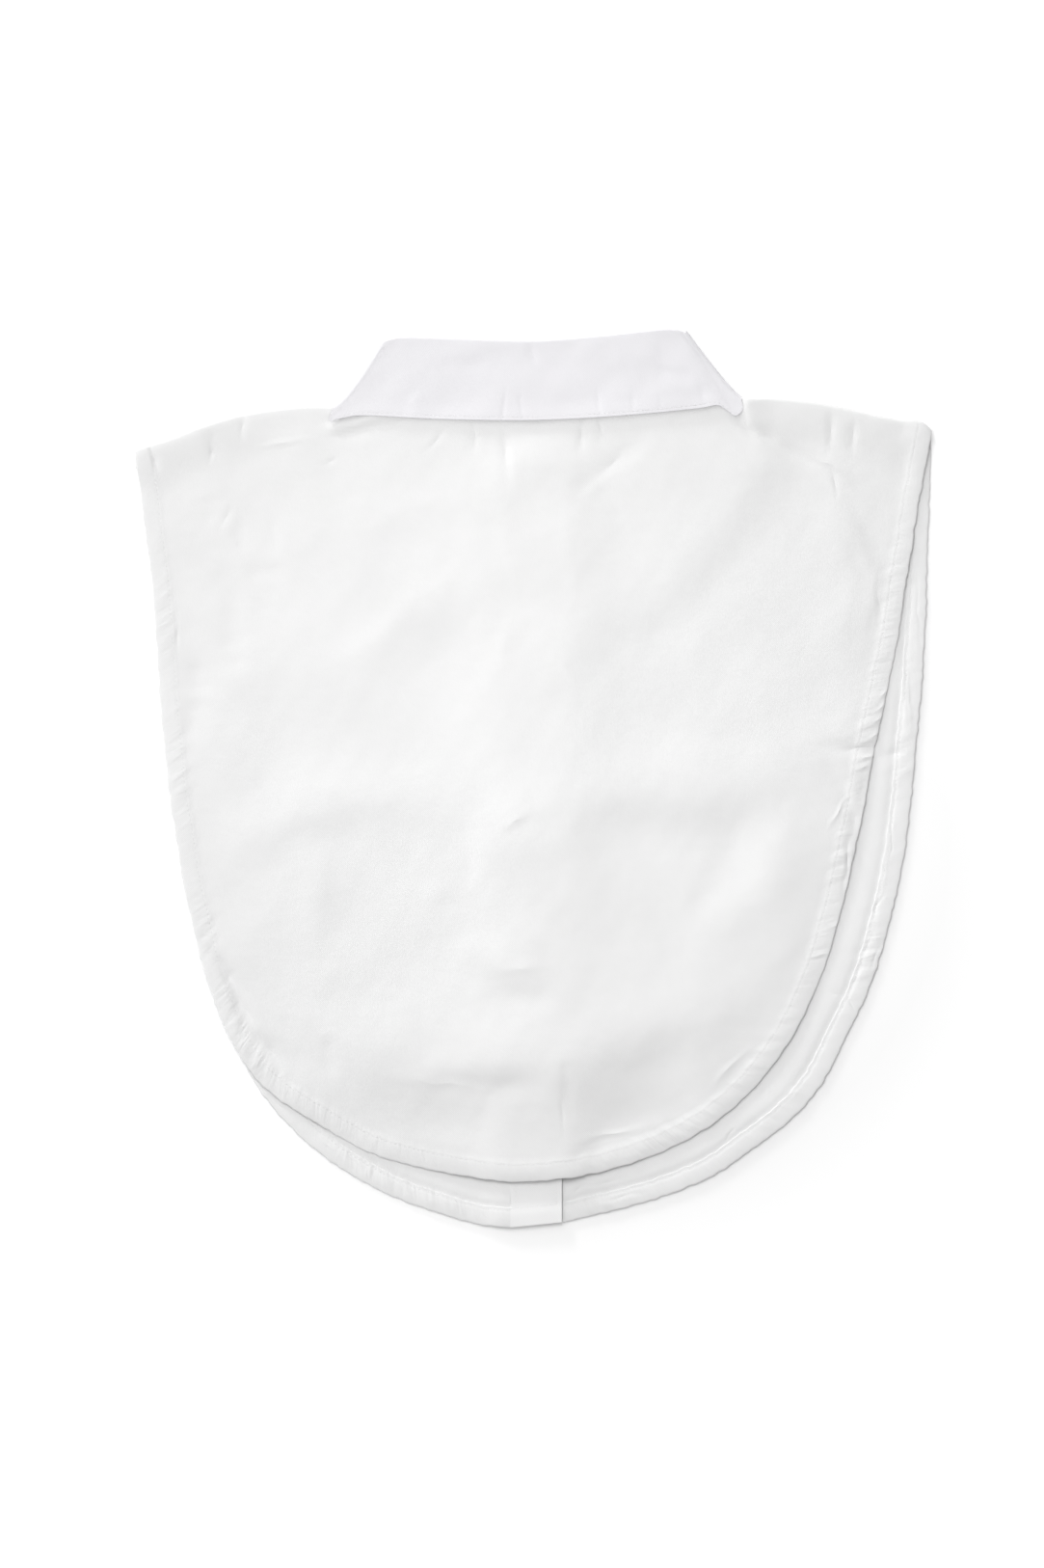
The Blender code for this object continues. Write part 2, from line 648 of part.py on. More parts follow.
def stand_front_z(x, y, side):
    """Middle height of the stand in the front layer; its left end laps over the right one."""
    lap = np.where(np.asarray(side) < 0.0, ease((x - BAND_LEFT + BAND_CLIMB) / (BAND_CLIMB - 2.0)), 0.0)
    return front_lift(x, y) + COLLAR / 2 + STAND_LAP * lap


def ring_place(plan, outward, turn, front_z, back_z):
    """Points of the collar ring: its flat pattern laid in the front layer, the back one or the turn."""
    radius = (back_z - front_z) / 2
    bulge = radius * np.sin(turn)[:, None]
    height = (front_z + back_z) / 2 - radius * np.cos(turn)[:, None]
    return np.concatenate([plan + outward * bulge[..., None], height[..., None]], axis=2)


def ring_turns(front_count, back_count):
    """Angle and side of each line across the ring, from the left front end to the right one."""
    turning = math.pi * np.arange(1, TURN_STEPS) / TURN_STEPS
    angles = [np.zeros(front_count), turning, np.full(back_count, math.pi), turning[::-1], np.zeros(front_count)]
    left_back = back_count // 2
    sides = np.ones(2 * front_count + 2 * len(turning) + back_count)
    sides[: front_count + len(turning) + left_back] = -1.0
    return np.concatenate(angles), sides


def ring_lines(left, back, right):
    """Joins the lines of both fronts, the turns and the back into one run round the ring."""
    turns = TURN_STEPS - 1
    return np.concatenate([
        left[::-1], np.repeat(back[:1], turns, axis=0), back, np.repeat(back[-1:], turns, axis=0), right,
    ])


def outward_of(up, sides):
    """Unit vectors that point out of the ring's turn, square to the way up the collar."""
    return np.stack([up[..., 1], -up[..., 0]], axis=2) * sides[:, None, None]


def make_stand():
    """Collar stand, a strip round the neck whose front ends lap at the collar button."""
    fold, _, _ = leaf_back_lines(2)
    fold_ends, seam_ends = (LEFT.fold[0], RIGHT.fold[0]), (LEFT.seam[0], RIGHT.seam[0])
    seam_x = np.interp(fold[:, 0], fold_ends, seam_ends)
    back = np.stack([seam_x, back_neck(seam_x), fold[:, 0], fold[:, 1]], axis=1)
    back[0, 1], back[-1, 1] = LEFT.seam[1], RIGHT.seam[1]
    fronts = []
    for corner, end_x in ((LEFT, BAND_RIGHT), (RIGHT, BAND_LEFT)):
        share = np.linspace(0.0, 1.0, 11)
        low_x = corner.seam[0] + (end_x - corner.seam[0]) * share
        top_x = corner.fold[0] + (end_x - corner.fold[0]) * share
        low_y, top_y = front_neck(low_x), front_fold(top_x)
        for place, height in zip((-1, -2), STAND_END_HEIGHTS):
            top_y[place] = low_y[place] + (top_y[place] - low_y[place]) * height
        fronts.append(np.stack([low_x, low_y, top_x, top_y], axis=1))
    turn, sides = ring_turns(len(fronts[0]), len(back))
    lines = ring_lines(fronts[0], back, fronts[1])
    seam, top = lines[:, :2], lines[:, 2:]
    up = (top - seam) / np.linalg.norm(top - seam, axis=1)[:, None]
    run = np.gradient(top, axis=0)
    slant = np.abs(up[:, 0] * run[:, 1] - up[:, 1] * run[:, 0]) / np.maximum(np.linalg.norm(run, axis=1), 1e-9)
    top_gap = GAP / np.clip(np.where(slant > 0.0, slant, TURN_SLANT), LEAST_SLANT, 1.0)
    seam, top = seam + up * GAP / 2, top - up * top_gap[:, None]
    share = np.linspace(0.0, 1.0, 5)[None, :, None]
    plan = seam[:, None] + (top - seam)[:, None] * share
    outward = outward_of(np.repeat(up[:, None], plan.shape[1], axis=1), sides)
    front_z = stand_front_z(plan[..., 0], plan[..., 1], sides[:, None])
    middle = ring_place(plan, outward, turn, front_z, np.full_like(front_z, STAND_BACK_Z))
    add_grid_wall("collar_stand", middle, COLLAR, COLLAR_WHITE)


def make_leaf():
    """Collar leaf, folded over the top of the stand and down outside it all round."""
    back = np.concatenate(leaf_back_lines(2), axis=1)
    fronts = []
    for corner, edge_points in ((LEFT, LEAF_FRONT_LEFT), (RIGHT, LEAF_FRONT_RIGHT)):
        fronts.append(np.concatenate(leaf_front_lines(corner, edge_points, 10), axis=1))
    turn, sides = ring_turns(len(fronts[0]), len(back))
    lines = ring_lines(fronts[0], back, fronts[1])
    fold, knee, edge = lines[:, 0:2], lines[:, 2:4], lines[:, 4:6]
    stand_z = stand_front_z(fold[:, 0], fold[:, 1], sides)
    up = (fold - knee) / np.linalg.norm(fold - knee, axis=1)[:, None]
    angles = np.linspace(0.0, math.pi, ROLL_STEPS + 1)
    over = (1.0 - np.cos(angles)) / 2
    in_back = turn[:, None] > math.pi / 2
    radius = np.where(in_back[:, 0], (LEAF_BACK_Z - STAND_BACK_Z) / 2, (stand_z - LEAF_FRONT_Z) / 2)
    roll_plan = fold[:, None] + up[:, None] * (radius[:, None] * np.sin(angles))[..., None]
    roll_up = np.repeat(up[:, None], len(angles), axis=1)
    share = np.linspace(0.0, 1.0, 7)[1:]
    fall = share[None, :, None]
    fall_plan = (1.0 - fall) ** 2 * fold[:, None] + 2.0 * fall * (1.0 - fall) * knee[:, None] + fall**2 * edge[:, None]
    way = (1.0 - fall) * (fold - knee)[:, None] + fall * (knee - edge)[:, None]
    fall_up = way / np.linalg.norm(way, axis=2)[..., None]
    plan = np.concatenate([roll_plan, fall_plan], axis=1)
    outward = outward_of(np.concatenate([roll_up, fall_up], axis=1), sides)
    over = np.concatenate([over, np.ones(len(share))])[None, :]
    front_z = stand_z[:, None] + (LEAF_FRONT_Z - stand_z[:, None]) * over
    back_z = STAND_BACK_Z + (LEAF_BACK_Z - STAND_BACK_Z) * over + np.zeros_like(front_z)
    middle = ring_place(plan, outward, turn, front_z, back_z)
    add_grid_wall("collar_leaf", middle, COLLAR, COLLAR_WHITE)


def make_buttons():
    """Five turned shirt buttons with a dished face, face down under the bands."""
    profile = (
        (0.0, 0.6), (2.9, 0.6), (3.9, 0.0), (BUTTON_RADIUS - 0.5, 0.0), (BUTTON_RADIUS, 0.6),
        (BUTTON_RADIUS - 0.2, BUTTON_THICK - 0.5), (BUTTON_RADIUS - 1.2, BUTTON_THICK), (0.0, BUTTON_THICK),
    )
    solid = bmesh.new()
    spots = [solid.verts.new((radius * MM, 0.0, z * MM)) for radius, z in profile]
    edges = [solid.edges.new(pair) for pair in zip(spots, spots[1:])]
    bmesh.ops.spin(
        solid, geom=spots + edges, axis=(0.0, 0.0, 1.0), cent=(0.0, 0.0, 0.0),
        steps=20, angle=2.0 * math.pi, use_merge=True, use_duplicate=False,
    )
    bmesh.ops.remove_doubles(solid, verts=solid.verts, dist=0.01 * MM)
    first = add_object("button_collar", solid, BUTTON_WHITE)
    first.location = (CENTRE_FRONT * MM, COLLAR_BUTTON_Y * MM, 0.0)
    for number, y in enumerate(PLACKET_BUTTONS_Y, start=1):
        copy = bpy.data.objects.new(f"button_{number}", first.data)
        copy.location = (CENTRE_FRONT * MM, y * MM, 0.0)
        bpy.context.scene.collection.objects.link(copy)


def main():
    """Makes every piece of the collar."""
    clear_scene()
    make_back_panel()
    make_front("left_front", LEFT_FRONT_HEM, LEFT_ROLL, BAND_LEFT - GAP, BAND + GAP)
    make_front("right_front", RIGHT_FRONT_HEM, RIGHT_ROLL, BAND_RIGHT + GAP, 0.0)
    make_band("right_band", 0.0)
    make_band("left_band", BAND + GAP)
    make_stand()
    make_leaf()
    make_buttons()


main()
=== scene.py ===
"""Looks of a detachable shirt collar of white cotton, laid flat with its back uppermost.

Sizes are in millimetres, and MM turns them to metres. X runs across the collar, Y from the hem up to
the collar and Z up from the table. Left is the wearer's left, which lies at -X because the back faces
up. Each cloth piece is laid as a grid on the middle of its ply and given its thickness afterwards.
"""

import logging
import math
from dataclasses import dataclass
from enum import Enum
from typing import Optional, Sequence

import bmesh
import bpy
import numpy as np
from mathutils import Matrix, Vector


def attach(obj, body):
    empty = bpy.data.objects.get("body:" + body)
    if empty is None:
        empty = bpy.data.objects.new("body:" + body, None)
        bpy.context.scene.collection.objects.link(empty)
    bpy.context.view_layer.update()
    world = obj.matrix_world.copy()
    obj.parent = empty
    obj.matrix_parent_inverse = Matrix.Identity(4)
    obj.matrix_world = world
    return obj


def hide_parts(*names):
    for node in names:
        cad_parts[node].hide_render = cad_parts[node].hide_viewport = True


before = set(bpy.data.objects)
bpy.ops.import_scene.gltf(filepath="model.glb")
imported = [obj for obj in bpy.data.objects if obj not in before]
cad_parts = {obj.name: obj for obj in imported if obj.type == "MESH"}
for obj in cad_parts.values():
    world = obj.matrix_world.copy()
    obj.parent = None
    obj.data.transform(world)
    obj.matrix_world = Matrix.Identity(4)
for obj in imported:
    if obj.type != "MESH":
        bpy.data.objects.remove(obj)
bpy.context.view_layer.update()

LOG = logging.getLogger("shirt_collar")

Array = np.ndarray
Spot = tuple[float, float]

MM = 0.001

# Room that each piece has, and the air between pieces
CLOTH = 1.0
BAND = 1.1
COLLAR = 1.2
GAP = 0.3
HEM_WIDTH = 10.0
HEM_RAISE = 0.6

# Front closing
CENTRE_FRONT = 1.25
BAND_LEFT = -12.25
BAND_RIGHT = 14.75
BAND_CLIMB = 22.0

# Buttons, face down on the table
BUTTON_THICK = 1.8
BUTTONS_Y = (145.0, 63.75, -18.75, -101.25, -183.75)

# How far the layers below lift the front and, more widely, the back panel
LEAF_LIFT = COLLAR + GAP
BUTTON_LIFT = BUTTON_THICK + GAP
BACK_BUTTON_LIFT = BUTTON_LIFT + 0.2
BACK_LIFT = CLOTH + HEM_RAISE + GAP
PLACKET_RISE = 2 * BAND + 2 * GAP + 0.1 - BACK_LIFT

# Collar ring, flattened
STAND_BACK_Z = 3.9
LEAF_FRONT_Z = COLLAR / 2
LEAF_BACK_Z = STAND_BACK_Z + COLLAR + GAP
STAND_LAP = COLLAR + GAP
NECK_LOW = 131.0
NECK_CURVE = 1.35
FOLD_LOW = 159.0
FOLD_CURVE = 1.5
LEAF_FROM_CENTRE = 6.5
STAND_END_HEIGHTS = (0.62, 0.9)

# Shoulders
SHOULDER_LIFT = 1.7
SHOULDER_FALL = 25.0
SEAM_UNDER = 8.0

# The drawn cloth: one ply, the middle of a folded hem, and the stitch line that holds it
PLY = 0.5
HEM_MIDDLE = 0.65
HEM_TURN = 0.4
HEM_TOP = 1.05
PLAIN = 0.6
STITCH_DEPTH = 8.7
HEM_ZONE = 24.0
FAR_FROM_HEM = 100.0

# Angles in degrees from which an edge counts as sharp
CLOTH_SHARP = 48.0
CLOTH_BEVEL = 50.0
BUTTON_SHARP = 35.0


@dataclass(frozen=True)
class Corner:
    """Side of the neck, where the collar turns from the back layer to the front one."""

    seam: Spot
    fold: Spot
    knee: Spot
    edge: Spot


LEFT = Corner(seam=(-95.75, 191.0), fold=(-77.6, 225.2), knee=(-97.0, 192.8), edge=(-104.2, 191.4))
RIGHT = Corner(seam=(99.0, 195.0), fold=(78.0, 230.2), knee=(102.8, 196.2), edge=(107.6, 195.9))
BACK_NECK: tuple[Spot, ...] = (LEFT.seam, (0.75, 197.0), RIGHT.seam)

# Lines down the back of the leaf as fold, knee and edge points
LEAF_BACK: tuple[tuple[float, ...], ...] = (
    (-77.0, 225.7, -97.0, 191.6, -105.4, 188.2),
    (-75.6, 226.3, -94.8, 195.5, -105.4, 185.0),
    (-73.0, 226.9, -87.5, 205.0, -99.0, 186.7),
    (-66.0, 227.6, -76.5, 207.8, -87.0, 188.0),
    (-36.0, 226.6, -41.5, 206.3, -47.0, 186.1),
    (0.0, 225.7, 0.0, 205.7, 0.0, 185.6),
    (36.0, 228.4, 40.0, 207.7, 45.0, 187.9),
    (66.0, 231.6, 75.0, 211.6, 84.0, 191.6),
    (73.5, 231.4, 84.5, 212.2, 94.8, 193.3),
    (75.8, 231.1, 92.0, 207.0, 100.0, 190.8),
    (76.9, 230.8, 99.0, 200.0, 104.6, 187.8),
    (77.6, 230.5, 102.4, 195.6, 108.4, 191.4),
)
LEAF_FRONT_LEFT: tuple[Spot, ...] = ((-104.0, 182.0), (-93.0, 160.0), (-70.0, 127.0), (-38.0, 96.0))
LEAF_FRONT_RIGHT: tuple[Spot, ...] = ((107.0, 187.0), (95.5, 164.0), (72.5, 129.0), (40.5, 96.5))

# Outlines: shoulders from the tip to the neck, hems from the left tip round the bottom
LEFT_SHOULDER: tuple[Spot, ...] = (
    (-206.5, 170.7), (-186.8, 177.3), (-171.8, 183.2), (-156.8, 187.7), (-141.8, 190.8),
    (-126.8, 192.6), (-111.8, 192.8), (-98.3, 192.6),
)
RIGHT_SHOULDER: tuple[Spot, ...] = (
    (206.2, 180.6), (203.2, 183.6), (188.2, 186.8), (173.2, 189.8), (158.2, 193.2), (143.2, 195.8),
    (128.2, 197.3), (113.2, 197.3), (101.4, 196.9),
)
BACK_HEM: tuple[Spot, ...] = (
    (-206.5, 168.4), (-202.6, 138.0), (-197.4, 97.0), (-194.2, 49.0), (-190.0, 3.0), (-183.5, -42.0),
    (-174.3, -86.0), (-159.0, -131.0), (-143.0, -156.5), (-112.0, -178.8), (-82.0, -195.0),
    (-52.0, -202.9), (-8.0, -208.7), (38.0, -202.9), (68.0, -192.8), (98.0, -175.3), (128.0, -143.3),
    (149.5, -101.3), (162.5, -56.0), (172.0, -11.0), (177.6, 19.0), (187.2, 64.0), (194.3, 109.0),
    (201.6, 154.0), (206.2, 178.2),
)
LEFT_FRONT_HEM: tuple[Spot, ...] = (
    (-205.0, 160.6), (-201.2, 138.0), (-196.0, 97.0), (-192.6, 49.0), (-188.5, 3.0), (-182.0, -42.0),
    (-172.8, -86.0), (-157.8, -131.0), (-142.3, -161.0), (-112.0, -193.2), (-82.0, -212.3),
    (-52.0, -224.3), (-24.0, -231.6), (-12.1, -232.6),
)
RIGHT_FRONT_HEM: tuple[Spot, ...] = (
    (15.05, -230.2), (43.0, -223.4), (68.0, -216.3), (94.0, -205.3), (114.8, -191.0), (134.8, -175.6),
    (147.3, -161.2), (163.3, -131.5), (177.0, -101.0), (185.4, -71.0), (192.0, -41.0), (196.0, -8.0),
    (199.6, 30.0), (202.2, 60.0), (203.8, 100.0), (205.0, 140.0), (206.2, 170.0),
)


def ease(share: Array) -> Array:
    """A smooth step from 0 to 1."""
    share = np.clip(share, 0.0, 1.0)
    return share * share * (3.0 - 2.0 * share)


def swell(distance: Array, flat: float, reach: float) -> Array:
    """1 up to the distance flat, then a smooth fall to 0 at reach."""
    return 1.0 - ease((distance - flat) / (reach - flat))


def blend_lifts(*lifts: Array) -> Array:
    """The higher of several lifts, rounded where they are alike."""
    return sum(lift**4 for lift in lifts) ** 0.25


def through(knots: Array, values: Sequence[Sequence[float]], at: Array) -> Array:
    """Reads a smooth curve through the values at the knots.

    Args:
        knots: Rising numbers, one for each value.
        values: A row of numbers for each knot.
        at: Where the curve is read.

    Returns:
        A row of numbers for each place.
    """
    table = np.asarray(values, float)
    slopes = np.gradient(table, knots, axis=0)
    piece = np.clip(np.searchsorted(knots, at, side="right") - 1, 0, len(knots) - 2)
    length = (knots[piece + 1] - knots[piece])[:, None]
    share = (at - knots[piece])[:, None] / length
    start, end = table[piece], table[piece + 1]
    leave, arrive = slopes[piece] * length, slopes[piece + 1] * length
    cubic = share * share * (3.0 - 2.0 * share)
    ramp = share * (1.0 - share)
    return start + (end - start) * cubic + ramp * (1.0 - share) * leave - ramp * share * arrive


def run_lengths(line: Array) -> Array:
    """How far along a chain of points each of them lies."""
    return np.concatenate([[0.0], np.cumsum(np.linalg.norm(np.diff(line, axis=0), axis=1))])


def along_line(line: Array, at: Array) -> Array:
    """Points of a chain at the given distances along it."""
    run = run_lengths(line)
    return np.stack([np.interp(at, run, line[:, axis]) for axis in range(line.shape[1])], axis=-1)


def smooth_curve(points: Sequence[Spot], count: int) -> Array:
    """Evenly spaced points on a smooth curve through the given ones.

    Args:
        points: What the curve passes through.
        count: How many points to give.

    Returns:
        The points, one a row.
    """
    knots = run_lengths(np.asarray(points, float))
    fine = through(knots, points, np.linspace(0.0, knots[-1], 40 * len(points)))
    return along_line(fine, np.linspace(0.0, run_lengths(fine)[-1], count))


def distance_to_line(points: Array, line: Array) -> Array:
    """Distance of each point from a chain of segments."""
    starts, spans = line[:-1], np.diff(line, axis=0)
    offsets = points[:, None, :] - starts[None]
    along = np.clip((offsets * spans).sum(2) / (spans**2).sum(1), 0.0, 1.0)
    return np.linalg.norm(offsets - along[..., None] * spans, axis=2).min(axis=1)


def inside(points: Array, outline: Array) -> Array:
    """Which points lie inside a closed outline."""
    ends = np.roll(outline, -1, axis=0)
    x, y = points[:, :1], points[:, 1:]
    spans = (outline[:, 1] > y) != (ends[:, 1] > y)
    rise = np.where(ends[:, 1] == outline[:, 1], 1.0, ends[:, 1] - outline[:, 1])
    crossing = outline[:, 0] + (y - outline[:, 1]) / rise * (ends[:, 0] - outline[:, 0])
    return (spans & (x < crossing)).sum(axis=1) % 2 == 1


def ripple(run: Array, size: float, seed: int) -> Array:
    """Uneven waves along a line, from about -1 to 1.

    Args:
        run: Distances along the line.
        size: Usual distance between two crests.
        seed: Which waves, the same each time for the same number.

    Returns:
        The height of the waves at each distance.
    """
    chance = np.random.default_rng(seed)
    waves = [np.sin(2.0 * math.pi * (run / (size * chance.uniform(0.6, 1.9)) + chance.uniform())) for _ in range(7)]
    return sum(waves) / math.sqrt(7.0)


def unevenness(points: Array, size: float, seed: int) -> Array:
    """Smooth uneven relief over a surface, from about -1 to 1.

    Args:
        points: Places as x and y.
        size: Usual distance between two high spots.
        seed: Which relief, the same each time for the same number.

    Returns:
        The relief at each place.
    """
    chance = np.random.default_rng(seed)
    total = np.zeros(len(points))
    for _ in range(10):
        turn = chance.uniform(0.0, 2.0 * math.pi)
        way = np.array([math.cos(turn), math.sin(turn)]) / (size * chance.uniform(0.7, 1.8))
        total += np.sin(2.0 * math.pi * (points @ way + chance.uniform()))
    return total / math.sqrt(10.0)


def front_scoop(x: Array, low: float, curve: float, left: Spot, right: Spot) -> Array:
    """Height in Y of a curve that is lowest at the centre front and rises to a corner on each side."""
    across = np.asarray(x, float) - CENTRE_FRONT
    half = np.where(across < 0.0, CENTRE_FRONT - left[0], right[0] - CENTRE_FRONT)
    rise = np.where(across < 0.0, left[1], right[1]) - low
    return low + rise * (np.abs(across) / half) ** curve


def front_neck(x: Array) -> Array:
    """Height in Y of the front neck seam."""
    return front_scoop(x, NECK_LOW, NECK_CURVE, LEFT.seam, RIGHT.seam)


def front_neck_x(y: Array, corner: Corner) -> Array:
    """Place in X of the front neck seam at a height, on one side."""
    share = ((y - NECK_LOW) / (corner.seam[1] - NECK_LOW)) ** (1.0 / NECK_CURVE)
    return CENTRE_FRONT + (corner.seam[0] - CENTRE_FRONT) * share


def front_fold(x: Array) -> Array:
    """Height in Y of the leaf's fold in the front layer."""
    return front_scoop(x, FOLD_LOW, FOLD_CURVE, LEFT.fold, RIGHT.fold)


def back_neck(x: Array) -> Array:
    """Height in Y of the back neck seam, an arc through three points."""
    spots = np.array(BACK_NECK)
    return np.polyval(np.polyfit(spots[:, 0], spots[:, 1], 2), x)


def leaf_front_lines(corner: Corner, edge_points: Sequence[Spot], count: int) -> tuple[Array, Array, Array]:
    """Fold, knee and edge of the leaf in the front layer, from the corner to its front edge.

    Args:
        corner: Where the leaf turns to the front.
        edge_points: The rest of its edge.
        count: How many lines to give.

    Returns:
        Fold points, knee points and edge points.
    """
    side = math.copysign(1.0, corner.seam[0])
    share = np.linspace(0.0, 1.0, count)[:, None]
    last_x = CENTRE_FRONT + side * LEAF_FROM_CENTRE
    fold_x = corner.fold[0] + (last_x - corner.fold[0]) * share[:, 0]
    fold = np.stack([fold_x, front_fold(fold_x)], axis=1)
    edge = smooth_curve((corner.edge, *edge_points), count)
    bend = np.array(corner.knee) - (np.array(corner.fold) + np.array(corner.edge)) / 2
    return fold, (fold + edge) / 2 + bend * (1.0 - share) ** 5, edge


def leaf_back_lines(count: int) -> Array:
    """Fold, knee and edge of the leaf in the back layer as rows of six numbers, from left to right."""
    rows = [(*LEFT.fold, *LEFT.knee, *LEFT.edge), *LEAF_BACK, (*RIGHT.fold, *RIGHT.knee, *RIGHT.edge)]
    knots = np.arange(len(rows), dtype=float)
    fine = through(knots, rows, np.linspace(0.0, knots[-1], 2000))
    return along_line(fine, np.linspace(0.0, run_lengths(fine)[-1], count))


def lift_over(points: Array, leaf: Spot, button_lift: float, button: Spot) -> Array:
    """Lift of a layer by the leaf fronts and the buttons under it.

    Args:
        points: Places as x and y.
        leaf: How far round the leaf the lift stays whole, and where it ends.
        button_lift: Height over a button.
        button: The same two distances from a button's centre.

    Returns:
        The lift at each place.
    """
    away = np.full(len(points), np.inf)
    for corner, edge_points in ((LEFT, LEAF_FRONT_LEFT), (RIGHT, LEAF_FRONT_RIGHT)):
        fold, _, edge = leaf_front_lines(corner, edge_points, 12)
        outline = np.concatenate([fold, edge[::-1]])
        outside = distance_to_line(points, np.concatenate([outline, outline[:1]]))
        away = np.minimum(away, np.where(inside(points, outline), 0.0, outside))
    clear = np.ones(len(points))
    for y in BUTTONS_Y:
        clear *= 1.0 - swell(np.linalg.norm(points - (CENTRE_FRONT, y), axis=1), *button)
    return blend_lifts(LEAF_LIFT * swell(away, *leaf), button_lift * (1.0 - clear))


def front_lift(points: Array) -> Array:
    """Height of the underside of the front layer."""
    return lift_over(points, (8.0, 28.0), BUTTON_LIFT, (8.0, 24.0))


def wide_lift(points: Array) -> Array:
    """Lift of the back panel, softer than the front layer's and nowhere below it."""
    return lift_over(points, (14.0, 40.0), BACK_BUTTON_LIFT, (16.0, 45.0))


@dataclass(frozen=True)
class Shoulder:
    """Top edge of one side, where the back panel rolls over to its seam with the front."""

    outline: tuple[Spot, ...]
    corner: Corner

    def top(self, x: Array) -> Array:
        """Outermost Y of the rolled edge."""
        spots = np.array(sorted(self.outline))
        return through(spots[:, 0], spots[:, 1:], np.asarray(x, float))[:, 0]

    def under_edge(self, x: Array) -> Array:
        """Points just inside the rolled edge, where the layers below are read."""
        return np.column_stack([x, self.top(x) - 2.0])

    def lift(self, x: Array) -> Array:
        """Extra height of the back panel at the roll, none beside the neck."""
        return SHOULDER_LIFT * (1.0 - wide_lift(self.under_edge(x)) / LEAF_LIFT)

    def low(self, x: Array) -> Array:
        """Middle height of the wall under the roll."""
        return front_lift(self.under_edge(x)) + CLOTH / 2

    def high(self, x: Array) -> Array:
        """Middle height of the wall over the roll."""
        return wide_lift(self.under_edge(x)) + BACK_LIFT + CLOTH / 2 + self.lift(x)

    def radius(self, x: Array) -> Array:
        """Radius of the middle of the rolled wall."""
        return (self.high(x) - self.low(x)) / 2

    def line(self, x: Array) -> Array:
        """Y of the line that the wall rolls round."""
        return self.top(x) - self.radius(x) - CLOTH / 2

    def neck_end(self) -> float:
        """X where the roll ends beside the neck."""
        return self.outline[-1][0]

    def under(self, x: Array, back: float) -> Array:
        """Points under the roll, back from its line, slanted beside the neck to follow the neck seam."""
        y = self.line(x) - back
        nearness = swell(np.abs(x - self.neck_end()), 0.0, 40.0)
        return np.column_stack([x + (front_neck_x(y, self.corner) - self.corner.seam[0]) * nearness, y])


LEFT_ROLL = Shoulder(LEFT_SHOULDER, LEFT)
RIGHT_ROLL = Shoulder(RIGHT_SHOULDER, RIGHT)


@dataclass(frozen=True)
class Crease:
    """A soft ridge, or a trough where its height is below 0, that fades towards both ends of its line."""

    line: tuple[Spot, ...]
    height: float
    left: float
    right: float
    blunt: float = 0.25

    def relief(self, points: Array) -> Array:
        """Height at each point; each side of the line has its own width."""
        line = np.array(self.line)
        spans = np.diff(line, axis=0)
        offsets = points[:, None, :] - line[None, :-1]
        share = np.clip((offsets * spans).sum(2) / (spans**2).sum(1), 0.0, 1.0)
        away = np.linalg.norm(offsets - share[..., None] * spans, axis=2)
        nearest = away.argmin(axis=1)
        each = np.arange(len(points))
        turn = spans[nearest, 0] * offsets[each, nearest, 1] - spans[nearest, 1] * offsets[each, nearest, 0]
        width = np.where(turn > 0.0, self.left, self.right)
        run = run_lengths(line)
        along = (run[nearest] + share[each, nearest] * np.diff(run)[nearest]) / run[-1]
        fade = ease(np.minimum(along, 1.0 - along) / 0.3 + self.blunt)
        return self.height * fade * np.exp(-((away[each, nearest] / width) ** 2))


@dataclass(frozen=True)
class PuckerSpot:
    """A stretch of hem whose stitches draw the cloth up more than elsewhere."""

    place: Spot
    reach: float
    strength: float


# Broad forms of the back panel, which its solid has too
BACK_FOLDS: tuple[tuple[Spot, Spot, float, float], ...] = (
    ((-106.0, 54.0), (-37.0, 114.0), 18.0, 1.3),
    ((-87.0, 124.0), (-37.0, 144.0), 14.0, 0.9),
    ((-142.0, -24.0), (-57.0, -11.0), 14.0, 1.1),
    ((-19.0, -36.0), (30.0, -15.0), 14.0, 0.8),
    ((30.0, -15.0), (142.0, 3.0), 22.0, 1.4),
    ((138.0, -16.0), (98.0, -96.0), 16.0, 1.1),
    ((-112.0, -40.0), (-110.0, -98.0), 14.0, 0.8),
    ((-104.0, -136.0), (8.0, -160.0), 18.0, 1.2),
    ((8.0, -160.0), (76.0, -140.0), 18.0, 1.0),
    ((112.0, 168.0), (152.0, 154.0), 14.0, 0.8),
    ((152.0, 154.0), (176.0, 96.0), 14.0, 1.0),
)
FOLDS_END_Y = 182.0

